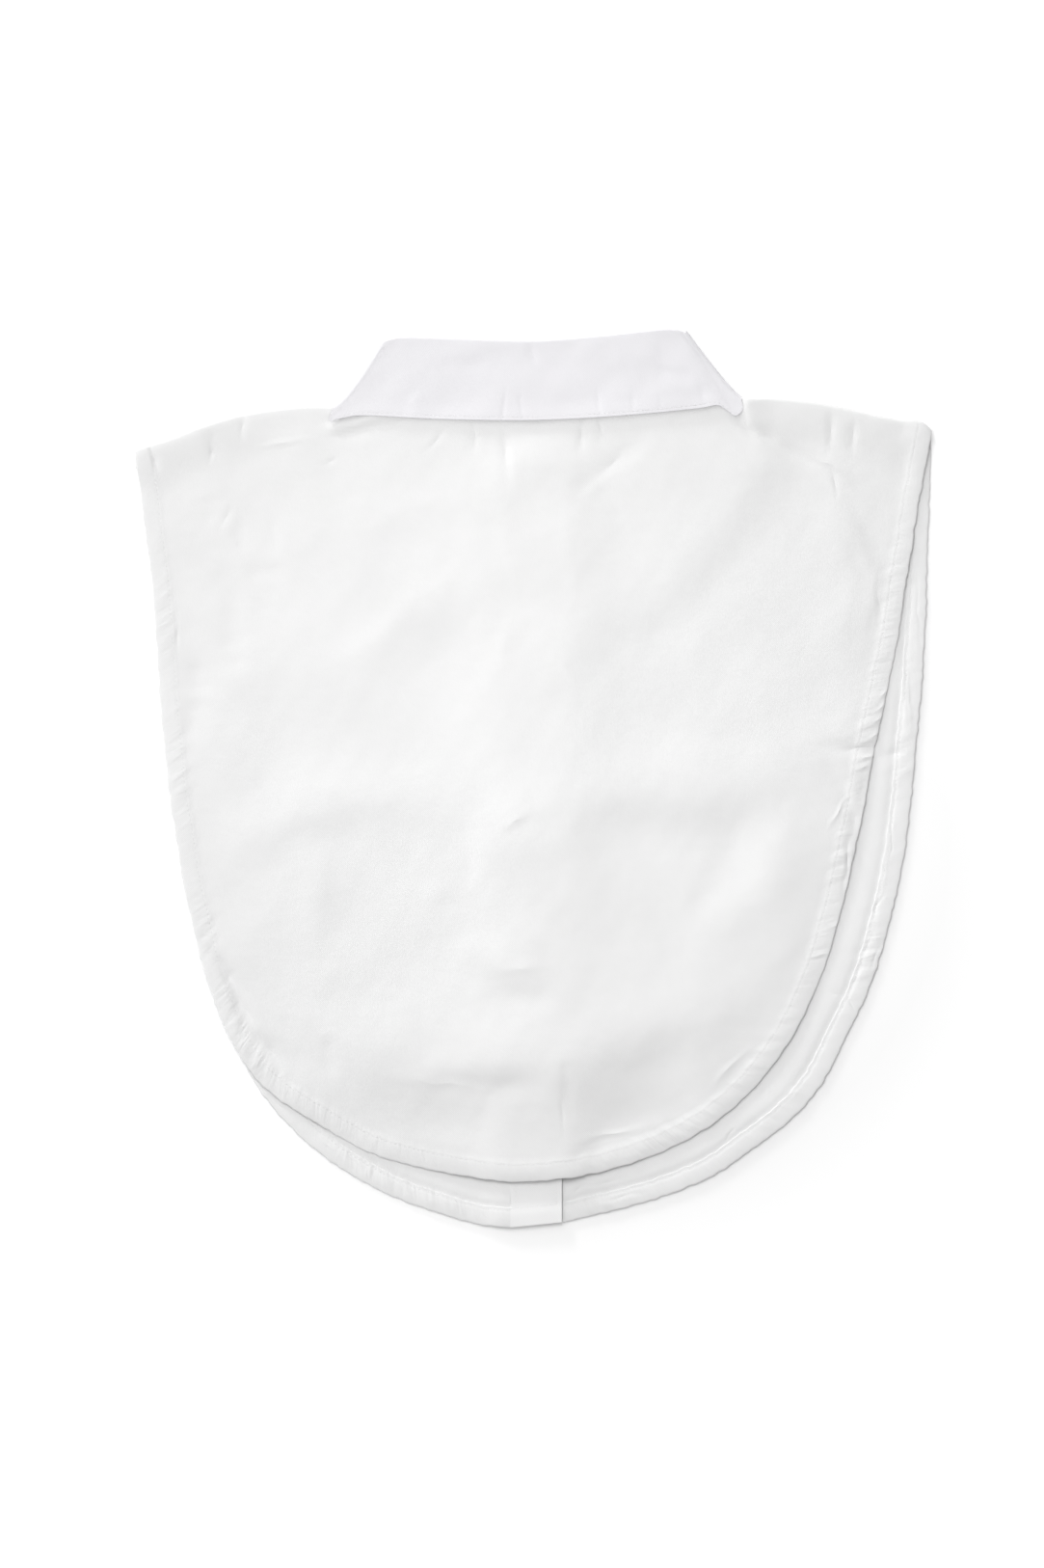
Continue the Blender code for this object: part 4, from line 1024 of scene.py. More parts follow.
def lay_cloth(
    name: str, middle: Array, flat: Array, thickness: float, rounding: float = 0.0, hem: Optional[HemMap] = None
) -> bpy.types.Object:
    """Lays a grid of cloth on its middle surface and gives it a thickness.

    Args:
        name: The piece's name.
        middle: Places of the grid's points, rows by columns by 3.
        flat: The same points on the flat cloth, rows by columns by 2.
        thickness: From face to face.
        rounding: Width of the rounded edges, or 0.
        hem: Hem coordinates of the same points, if the piece has a hem.

    Returns:
        The new piece.
    """
    rows, columns = middle.shape[:2]
    cloth = bmesh.new()
    bmesh.ops.create_grid(cloth, x_segments=columns - 1, y_segments=rows - 1, size=1.0)
    first = np.array([spot.co for spot in cloth.verts])
    order = np.lexsort((first[:, 0], first[:, 1]))
    spots = np.empty((rows * columns, 3))
    on_flat = np.empty((rows * columns, 2))
    spots[order] = middle.reshape(-1, 3) * MM
    on_flat[order] = flat.reshape(-1, 2) * MM
    for spot, place in zip(cloth.verts, spots.tolist()):
        spot.co = place
    mark_places(cloth, "cloth", on_flat)
    if hem is not None:
        from_hem = np.empty((rows * columns, 2))
        from_hem[order] = np.column_stack([hem.run.ravel(), hem.depth.ravel()]) * MM
        mark_places(cloth, "hem", from_hem)
        pull, cut = np.empty(rows * columns), np.empty(rows * columns, bool)
        pull[order], cut[order] = hem.pull.ravel(), hem.cut.ravel()
        layer = cloth.verts.layers.float.new("pull")
        for spot, value in zip(cloth.verts, pull.tolist()):
            spot[layer] = value
        cloth.verts.ensure_lookup_table()
        bmesh.ops.delete(cloth, geom=[cloth.verts[k] for k in np.flatnonzero(cut)], context="VERTS")
    bmesh.ops.remove_doubles(cloth, verts=cloth.verts, dist=0.02 * MM)
    piece = keep_mesh(name, cloth)
    wall = piece.modifiers.new("ply", "SOLIDIFY")
    wall.thickness = thickness * MM
    wall.offset = 0.0
    if rounding > 0.0:
        edge = piece.modifiers.new("edge", "BEVEL")
        edge.width = rounding * MM
        edge.segments = 2
        edge.limit_method = "ANGLE"
        edge.angle_limit = math.radians(CLOTH_BEVEL)
    harden(piece, CLOTH_SHARP)
    if rounding > 0.0:
        piece.modifiers.new("flat_faces", "WEIGHTED_NORMAL").keep_sharp = True
    return piece


@dataclass(frozen=True)
class Lockstitch:
    """A row of machine stitches, each a small thread end to end with the next."""

    pitch: float = 2.5
    seen: float = 2.0
    width: float = 0.3
    height: float = 0.16

    def sew(self, name: str, lines: Sequence[Array]) -> bpy.types.Object:
        """Sews along lines of points.

        Args:
            name: The piece's name.
            lines: Chains of points on the cloth's face.

        Returns:
            One object with all the stitches.
        """
        made = bmesh.new()
        size = Matrix.Diagonal((self.seen / 2 * MM, self.width / 2 * MM, self.height / 2 * MM, 1.0))
        for line in lines:
            centres = np.arange(self.pitch / 2, run_lengths(line)[-1] - self.pitch / 2, self.pitch)
            starts = along_line(line, centres - self.seen / 2)
            ends = along_line(line, centres + self.seen / 2)
            for start, end in zip(starts, ends):
                turn = Vector(end - start).to_track_quat("X", "Z").to_matrix().to_4x4()
                place = Matrix.Translation(Vector((start + end) / 2 * MM))
                bmesh.ops.create_icosphere(made, subdivisions=1, radius=1.0, matrix=place @ turn @ size)
        return keep_mesh(name, made)


class HemTurn(Enum):
    """Which way the hem's allowance is folded, as the panel lies here."""

    UNDER = "under"
    OVER = "over"


@dataclass
class HemmedPanel:
    """A cotton panel with a narrow hem round its free edge."""

    name: str
    node: str
    outline: tuple[Spot, ...]
    turn: HemTurn
    columns: int
    inner_rows: int
    puckers: tuple[PuckerSpot, ...]
    pull: float
    seed: int

    def hem_rows(self) -> tuple[Array, Array]:
        """Rows of the hem as depths in from the edge and levels in the panel's room."""
        angles = np.linspace(0.0, math.pi, 7)
        round_depth = HEM_MIDDLE - HEM_TURN * np.sin(angles)
        round_level = HEM_MIDDLE - HEM_TURN * np.cos(angles)
        face = np.array(
            [1.5, 2.3, 3.2, 4.2, 5.2, 6.2, 7.1, 7.8, 8.3, 8.7, 9.1, 9.6, 10.2, 11.0, 12.5, 14.5, 17.0, 20.0, HEM_ZONE]
        )
        hidden = np.array([2.6, 5.0, 7.5, 9.8])
        if self.turn is HemTurn.UNDER:
            depths = [hidden[::-1], round_depth, face]
            levels = [np.full(len(hidden), PLY / 2), round_level, self.face_level(face)]
        else:
            face = face[face <= 10.2]
            below = np.append(hidden, [10.8, 12.5, 15.0, 19.0, HEM_ZONE])
            depths = [face[::-1], round_depth[::-1], below]
            below_level = PLY / 2 + 0.1 * ease((below - 1.0) / 9.0) + (PLAIN - PLY / 2 - 0.1) * ease((below - 10.4) / 3.0)
            below_level += 0.4 * np.exp(-(((below - 15.0) / 3.5) ** 2))
            levels = [self.face_level(face)[::-1], round_level[::-1], below_level]
        return np.concatenate(depths), np.concatenate(levels)

    def face_level(self, depth: Array) -> Array:
        """Level of the ply that shows over the hem, drawn down along its stitches."""
        puff = 0.14 * np.sin(math.pi * np.clip(depth / STITCH_DEPTH, 0.0, 1.0))
        groove = 0.09 * np.exp(-(((depth - STITCH_DEPTH) / 0.6) ** 2))
        if self.turn is HemTurn.OVER:
            return HEM_TOP + puff - groove - 0.12 * ease((depth - 7.5) / 2.5)
        ledge = 0.2 * ease((depth - 9.0) / 1.8)
        return HEM_TOP + puff - groove - ledge - (HEM_TOP - 0.2 - PLAIN) * ease((depth - 10.0) / 12.0)

    def hem(self) -> tuple[Array, Array]:
        """The hemmed edge, slightly wavy, and its inward directions."""
        line = smooth_curve(self.outline, self.columns)
        along = np.gradient(line, axis=0)
        inward = np.stack([-along[:, 1], along[:, 0]], axis=1) / np.linalg.norm(along, axis=1)[:, None]
        run = run_lengths(line)
        calm = ease(run / 20.0) * ease((run[-1] - run) / 20.0)
        waves = 0.22 * ripple(run, 9.0, self.seed) + 0.15 * ripple(run, 30.0, self.seed + 1)
        return line + inward * (waves * calm)[:, None], inward

    def plan(self, inner: Array, start: Array, end: Array, reach: float) -> Array:
        """Lays the rows of the panel out flat, between its hem and an inner line.

        Args:
            inner: Where each column ends.
            start: The panel's edge along the first column.
            end: The panel's edge along the last column.
            reach: How far from each end its edge bends the columns.

        Returns:
            Points as rows by columns by 2.
        """
        hem, inward = self.hem()
        depths, _ = self.hem_rows()
        shares = np.linspace(0.0, 1.0, self.inner_rows + 1)[1:, None, None]
        zone = hem + inward * HEM_ZONE
        base = np.concatenate([hem + inward * depths[:, None, None], zone + (inner - zone) * shares])
        run = run_lengths(hem)
        for edge, column, away in ((start, 0, run), (end, -1, run[-1] - run)):
            whole = run_lengths(edge)[-1]
            at = np.concatenate([depths, HEM_ZONE + (whole - HEM_ZONE) * shares[:, 0, 0]])
            bend = along_line(edge, at) - base[:, column]
            base = base + bend[:, None] * swell(away, 0.0, reach)[None, :, None]
        return base

    def strength(self, points: Array) -> Array:
        """How hard the hem's stitches pull near each point."""
        total = np.full(len(points), self.pull)
        for spot in self.puckers:
            total += spot.strength * np.exp(-((np.linalg.norm(points - spot.place, axis=1) / spot.reach) ** 2))
        return total

    def hem_map(self, middle: Array, before: int = 0, after: int = 0, cut: Optional[Array] = None) -> HemMap:
        """Hem coordinates of the laid points.

        Args:
            middle: The points, rows by columns by 3.
            before: How many of the columns come before the hem's start.
            after: How many come after its end.
            cut: Which points are cut away.

        Returns:
            The coordinates, with the first and last ones carried on past the hem's ends.
        """
        run = np.pad(run_lengths(self.hem()[0]), (before, after), mode="edge")
        depths = np.concatenate([self.hem_rows()[0], np.full(self.inner_rows, FAR_FROM_HEM)])
        pull = self.strength(middle[..., :2].reshape(-1, 2)).reshape(middle.shape[:2])
        none = np.zeros(middle.shape[:2], bool)
        return HemMap(
            np.broadcast_to(run, middle.shape[:2]), np.broadcast_to(depths[:, None], middle.shape[:2]), pull,
            none if cut is None else cut,
        )

    def pucker(self, points: Array, run: Array, depth: Array) -> Array:
        """Small slanting folds that the stitches draw into the hem.

        Args:
            points: Places as x and y.
            run: How far along the hem each lies.
            depth: How far in from the edge each lies.

        Returns:
            Height to add at each place.
        """
        strength = self.strength(points)
        wave = ripple(run + 0.8 * depth, 7.5, self.seed + 2)
        return 0.13 * strength * wave * (0.3 + 0.7 * ease(depth / 5.0)) * (1.0 - ease((depth - 9.5) / 9.0))

    def low(self, points: Array) -> Array:
        """Height of the underside of the panel's room."""
        raise NotImplementedError

    def droop(self, points: Array) -> Array:
        """How far the hem hangs down at points along it."""
        return np.zeros(len(points))

    def relief(self, points: Array) -> Array:
        """Creases and unevenness of the panel."""
        raise NotImplementedError

    def levels(self) -> Array:
        """Level of each row in the panel's room."""
        return np.concatenate([self.hem_rows()[1], np.full(self.inner_rows, PLAIN)])

    def laid(self, plan: Array) -> Array:
        """Gives the flat rows their heights.

        Args:
            plan: Points as rows by columns by 2.

        Returns:
            Points as rows by columns by 3.
        """
        points = plan.reshape(-1, 2)
        depths = np.concatenate([self.hem_rows()[0], np.full(self.inner_rows, FAR_FROM_HEM)])
        run = np.tile(run_lengths(self.hem()[0]), len(plan))
        depth = np.repeat(depths, plan.shape[1])
        height = self.low(points) + self.relief(points) + self.pucker(points, run, depth)
        height -= np.tile(self.droop(self.hem()[0]), len(plan)) * (1.0 - ease(depth / HEM_ZONE))
        return np.concatenate([plan, (height.reshape(plan.shape[:2]) + self.levels()[:, None])[..., None]], axis=2)

    def stitch_line(self, middle: Array) -> Array:
        """The line of the hem's stitches on the face that shows."""
        depths, levels = self.hem_rows()
        row = int(np.argmin(np.abs(depths - STITCH_DEPTH) + 10.0 * (levels < HEM_MIDDLE)))
        return middle[row] + (0.0, 0.0, PLY / 2)


@dataclass
class BackPanel(HemmedPanel):
    """The back, in one piece from shoulder to shoulder, rolled over both to seams under them."""

    roll_steps: int = 10
    under_steps: int = 4
    hang: float = 0.75
    spine_foot: Spot = (0.0, -62.0)
    spine_length: float = 259.0
    bend_reach: float = 180.0

    def low(self, points: Array) -> Array:
        """Height of the underside over the fronts, bands, leaf and buttons."""
        x, y = points[:, 0], points[:, 1]
        across = np.abs(x - CENTRE_FRONT)
        placket = PLACKET_RISE * swell(across, 15.0, 48.0) * ease((184.0 - y) / 24.0)
        bridge = 2.0 * swell(across, 4.0, 80.0) * ease((168.0 - y) / 50.0) * ease((y + 222.0) / 66.0)
        lifted = blend_lifts(0.8 * wide_lift(points), bridge)
        at_top = ease((y - 140.0) / 40.0)
        height = lifted + (wide_lift(points) - lifted) * at_top + BACK_LIFT + placket
        for roll, side in ((LEFT_ROLL, x < LEFT.seam[0]), (RIGHT_ROLL, x > RIGHT.seam[0])):
            near = ease(1.0 - (roll.line(x[side]) - y[side]) / SHOULDER_FALL)
            height[side] += roll.lift(x[side]) * near
        ridges = []
        wandering = self.wandered(points)
        for start, end, half_width, rise in BACK_FOLDS:
            away = distance_to_line(wandering, np.array([start, end]))
            ridges.append(0.75 * rise * np.exp(-((away / (1.25 * half_width)) ** 2)))
        return height + blend_lifts(*ridges) * ease((FOLDS_END_Y - y) / 25.0)

    def droop(self, points: Array) -> Array:
        """How far the hem hangs down where it lies inside the hems of the fronts and beside the bands."""
        fronts = (smooth_curve(outline, 80) for outline in (LEFT_FRONT_HEM, RIGHT_FRONT_HEM))
        inwards = np.minimum(*(distance_to_line(points, line) for line in fronts))
        beside = ease((np.abs(points[:, 0] - CENTRE_FRONT) - 15.0) / 20.0)
        return self.hang * ease((inwards - 6.0) / 7.0) * beside

    def wandered(self, points: Array) -> Array:
        """The points moved about a little, so that straight folds come out crooked."""
        across, along = (unevenness(points, 52.0, self.seed + number) for number in (20, 21))
        return points + 3.2 * np.column_stack([across, along])

    def relief(self, points: Array) -> Array:
        """Creases of the back, kept shallow over the bands and buttons."""
        total = 0.2 * unevenness(points, 46.0, self.seed + 4) + 0.06 * unevenness(points, 17.0, self.seed + 5)
        wandering = self.wandered(points)
        for crease in BACK_CREASES:
            total += crease.relief(wandering)
        for crease in NECK_CREASES:
            total += crease.relief(points)
        deepest = -0.4 - 1.6 * ease((np.abs(points[:, 0] - CENTRE_FRONT) - 8.0) / 62.0)
        return np.where(total < deepest, deepest + 0.1 * (total - deepest), total)

    def top_edge(self, roll: Shoulder) -> Array:
        """The line from a shoulder's tip along its roll and the neck to the middle of the back."""
        tip, neck_end = roll.outline[0][0], roll.neck_end()
        x = np.linspace(tip, neck_end, 60)
        neck = np.linspace(roll.corner.seam[0], BACK_NECK[1][0], 50)
        shoulder = np.stack([x, roll.line(x)], axis=1)
        return np.concatenate([shoulder, np.stack([neck, back_neck(neck) - GAP], axis=1)])

    def rolled(self, middle: Array, column: int, roll: Shoulder) -> tuple[Array, Array]:
        """Carries the panel on round a shoulder and under it.

        Args:
            middle: The panel's laid points.
            column: Its first or last column.
            roll: The shoulder there.

        Returns:
            The new columns outwards from the panel, and which of their points are cut away.
        """
        x = middle[:, column, 0]
        kept = np.abs(x) >= abs(roll.neck_end()) - 1.0
        x = np.where(kept, x, roll.neck_end())
        low, high, line = roll.low(x), roll.high(x), roll.line(x)
        levels = self.levels()
        start = middle[:, column, 2] - (high - CLOTH / 2 + levels)
        columns = []
        for step in range(1, self.roll_steps + 1):
            angle = math.pi * step / self.roll_steps
            out, up = math.sin(angle), math.cos(angle)
            level = levels - np.maximum(levels - PLAIN, 0.0) * ease(np.array(1.0 - max(0.0, up)))
            reach = (high - low) / 2 - CLOTH / 2 + level
            rise = (low + high) / 2 + up * reach + start * max(0.0, up)
            columns.append(np.column_stack([x, line + out * reach, rise]))
        for step in range(1, self.under_steps + 1):
            spots = roll.under(x, SEAM_UNDER * step / self.under_steps)
            height = front_lift(spots) + CLOTH - np.minimum(levels, PLAIN)
            columns.append(np.column_stack([spots, height]))
        return np.stack(columns, axis=1), np.repeat(~kept[:, None], len(columns), axis=1)

    def build(self) -> tuple[bpy.types.Object, Array]:
        """Makes the panel.

        Returns:
            The piece, and the line of its hem stitches.
        """
        share = 1.0 - np.abs(np.linspace(-1.0, 1.0, self.columns))
        spine = along_line(np.array([[BACK_NECK[1][0], BACK_NECK[1][1] - GAP], self.spine_foot]), share * self.spine_length)
        left, right = self.top_edge(LEFT_ROLL), self.top_edge(RIGHT_ROLL)
        middle = self.laid(self.plan(spine, left, right, self.bend_reach))
        before, cut_before = self.rolled(middle, 0, LEFT_ROLL)
        after, cut_after = self.rolled(middle, -1, RIGHT_ROLL)
        whole = np.concatenate([before[:, ::-1], middle, after], axis=1)
        cut = np.concatenate([cut_before, np.zeros(middle.shape[:2], bool), cut_after], axis=1)
        flat = whole[..., :2].copy()
        for edge, first, columns in ((0, 0, before[:, ::-1]), (-1, before.shape[1] + middle.shape[1], after)):
            beyond = np.linalg.norm(columns - middle[:, edge, None], axis=2)
            flat[:, first : first + columns.shape[1], 1] = middle[:, edge, None, 1] + beyond
        hem = self.hem_map(whole, before.shape[1], after.shape[1], cut)
        return lay_cloth(self.name, whole, flat, PLY, hem=hem), self.stitch_line(middle)


@dataclass
class FrontPanel(HemmedPanel):
    """One front, from its seam under the shoulder to the hem and across to its band."""

    roll: Shoulder = LEFT_ROLL
    seam_x: float = BAND_LEFT
    climb: float = 0.0
    band_edge_low: float = -60.0
    bend_reach: float = 120.0

    def low(self, points: Array) -> Array:
        """Height of the underside on the table, leaf and buttons, and up to the band that laps over."""
        return front_lift(points) + self.climb * ease((points[:, 0] - BAND_LEFT + BAND_CLIMB) / (BAND_CLIMB - 2.0))

    def relief(self, points: Array) -> Array:
        """Slight unevenness, and the creases where the front shows past the back."""
        total = 0.12 * np.abs(unevenness(points, 40.0, self.seed + 4))
        for crease in FRONT_CREASES:
            total += crease.relief(points)
        return total

    def build(self) -> tuple[bpy.types.Object, Array]:
        """Makes the front.

        Returns:
            The piece, and the line of its hem stitches.
        """
        left = self.seam_x < 0.0
        hem = self.hem()[0]
        tip_x = hem[0 if left else -1, 0]
        across = np.linspace(tip_x, self.roll.neck_end(), 60)
        shoulder = self.roll.under(across, SEAM_UNDER + GAP)
        shoulder[0] = hem[0 if left else -1]
        neck_x = np.linspace(shoulder[-1, 0], self.seam_x, 60)
        neck = np.stack([neck_x, front_neck(neck_x) - 1.5 * GAP], axis=1)
        foot = np.array([[self.seam_x, self.band_edge_low]])
        inner = np.concatenate([neck, foot])
        inner = along_line(inner, np.linspace(0.0, run_lengths(inner)[-1], self.columns))
        band_edge = np.concatenate([hem[-1:] if left else hem[:1], foot])
        if left:
            plan = self.plan(inner, shoulder, band_edge, self.bend_reach)
        else:
            plan = self.plan(inner[::-1], band_edge, shoulder, self.bend_reach)
        middle = self.laid(plan)
        middle[..., 2] = np.maximum(middle[..., 2], PLY / 2 + 0.02)
        return lay_cloth(self.name, middle, plan, PLY, hem=self.hem_map(middle)), self.stitch_line(middle)


@dataclass
class ButtonBand:
    """A folded band of the front closing, edge-stitched along both sides and hemmed at its foot."""

    name: str
    rise: float
    foot: Spot
    face: float
    columns: int = 37
    rows: int = 150
    stitch_in: float = 3.0
    hem_in: float = 8.8

    def build(self) -> tuple[bpy.types.Object, list[Array]]:
        """Makes the band.

        Returns:
            The piece, and the lines of its stitches.
        """
        x = np.linspace(BAND_LEFT, BAND_RIGHT, self.columns)
        foot = self.foot[0] + (self.foot[1] - self.foot[0]) * (x - BAND_LEFT) / (BAND_RIGHT - BAND_LEFT)
        top = front_neck(x) - GAP
        share = np.linspace(0.0, 1.0, self.rows)[:, None]
        y = foot + (top - foot) * share
        plan = np.stack([np.broadcast_to(x, y.shape), y], axis=2)
        points = plan.reshape(-1, 2)
        side = np.minimum(points[:, 0] - BAND_LEFT, BAND_RIGHT - points[:, 0])
        up = (y - foot).ravel()
        groove = np.exp(-(((side - self.stitch_in) / 0.7) ** 2)) * (up > self.hem_in)
        groove += np.exp(-(((up - self.hem_in) / 0.8) ** 2))
        height = front_lift(points) + self.rise + BAND / 2 - self.face * 0.05 * groove
        height += 0.04 * unevenness(points, 22.0, 31)
        if self.face > 0.0:
            height += 0.45 * (1.0 - ease((up - self.hem_in + 0.6) / 1.6))
        middle = np.concatenate([plan, height.reshape(y.shape)[..., None]], axis=2)
        piece = lay_cloth(self.name, middle, plan, BAND - 0.1, rounding=0.25)
        off = (0.0, 0.0, self.face * (BAND / 2 - 0.03))
        near = [int(np.argmin(np.abs(x - place))) for place in (BAND_LEFT + 3.0, BAND_RIGHT - 3.0)]
        low = int(np.argmin(np.abs(y[:, self.columns // 2] - foot[self.columns // 2] - self.hem_in)))
        lines = [middle[low:, column] + off for column in near]
        lines.append(middle[low] + off)
        return piece, lines


def stand_front_z(points: Array, sides: Array) -> Array:
    """Middle height of the stand in the front layer; its left end laps over the right one."""
    lap = np.where(sides < 0.0, ease((points[:, 0] - BAND_LEFT + BAND_CLIMB) / (BAND_CLIMB - 2.0)), 0.0)
    return front_lift(points) + COLLAR / 2 + STAND_LAP * lap


@dataclass
class CollarRing:
    """What the stand and the leaf share: a strip in the front layer, the turns and the back layer."""

    name: str
    back_lines: int = 105
    front_lines: int = 40
    turn_steps: int = 10
    turn_depth: float = 0.7

    def turns(self, back_count: int) -> tuple[Array, Array]:
        """Angle and side of each line across the ring, from the left front end to the right one."""
        turning = math.pi * np.arange(1, self.turn_steps) / self.turn_steps
        front = np.zeros(self.front_lines)
        angles = np.concatenate([front, turning, np.full(back_count, math.pi), turning[::-1], front])
        sides = np.ones(len(angles))
        sides[: self.front_lines + len(turning) + back_count // 2] = -1.0
        return angles, sides

    def lines(self, left: Array, back: Array, right: Array) -> Array:
        """Joins the lines of both fronts, the turns and the back into one run round the ring."""
        extra = self.turn_steps - 1
        return np.concatenate([
            left[::-1], np.repeat(back[:1], extra, axis=0), back, np.repeat(back[-1:], extra, axis=0), right,
        ])

    def placed(self, plan: Array, up: Array, sides: Array, turn: Array, front_z: Array, back_z: Array) -> Array:
        """Lays the ring's flat lines in the front layer, the back one or the turn between them.

        Args:
            plan: Flat places, lines by points by 2.
            up: The way up the collar at each.
            sides: Which side of the neck each line is on.
            turn: Angle of each line round its turn.
            front_z: Height of each point in the front layer.
            back_z: Height of each point in the back layer.

        Returns:
            Places as lines by points by 3.
        """
        outward = np.stack([up[..., 1], -up[..., 0]], axis=2) * sides[:, None, None]
        radius = (back_z - front_z) / 2
        bulge = self.turn_depth * radius * np.sin(turn)[:, None]
        height = (front_z + back_z) / 2 - radius * np.cos(turn)[:, None]
        return np.concatenate([plan + outward * bulge[..., None], height[..., None]], axis=2)

    def flat(self, middle: Array) -> Array:
        """The strip's own flat coordinates: along its middle line, and up from its first edge."""
        along = run_lengths(middle[:, middle.shape[1] // 2])
        up = np.stack([run_lengths(line) for line in middle])
        return np.stack([np.broadcast_to(along[:, None], up.shape), up], axis=2)


@dataclass
class CollarStand(CollarRing):
    """The stand, a stiffened strip round the neck whose front ends lap at the collar button."""

    points: int = 13

    def build(self) -> bpy.types.Object:
        """Makes the stand."""
        fold = leaf_back_lines(self.back_lines)[:, :2]
        seam_x = np.interp(fold[:, 0], (LEFT.fold[0], RIGHT.fold[0]), (LEFT.seam[0], RIGHT.seam[0]))
        back = np.stack([seam_x, back_neck(seam_x), fold[:, 0], fold[:, 1]], axis=1)
        fronts = []
        for corner, end_x in ((LEFT, BAND_RIGHT), (RIGHT, BAND_LEFT)):
            share = np.linspace(0.0, 1.0, self.front_lines)
            low_x = corner.seam[0] + (end_x - corner.seam[0]) * share
            top_x = corner.fold[0] + (end_x - corner.fold[0]) * share
            low_y, top_y = front_neck(low_x), front_fold(top_x)
            full = np.interp(share, (0.0, 0.88, 1.0), (1.0, STAND_END_HEIGHTS[1], STAND_END_HEIGHTS[0]))
            fronts.append(np.stack([low_x, low_y, top_x, low_y + (top_y - low_y) * full], axis=1))
        turn, sides = self.turns(len(back))
        lines = self.lines(fronts[0], back, fronts[1])
        up = (lines[:, 2:] - lines[:, :2]) / np.linalg.norm(lines[:, 2:] - lines[:, :2], axis=1)[:, None]
        seam, top = lines[:, :2] + up * GAP, lines[:, 2:] - up * 2.0 * GAP
        share = np.linspace(0.0, 1.0, self.points)[None, :, None]
        plan = seam[:, None] + (top - seam)[:, None] * share
        front_z = stand_front_z(plan.reshape(-1, 2), np.repeat(sides, self.points)).reshape(plan.shape[:2])
        ways = np.repeat(up[:, None], self.points, axis=1)
        middle = self.placed(plan, ways, sides, turn, front_z, np.full_like(front_z, STAND_BACK_Z))
        return lay_cloth(self.name, middle, self.flat(middle), COLLAR - 0.2, rounding=0.3)


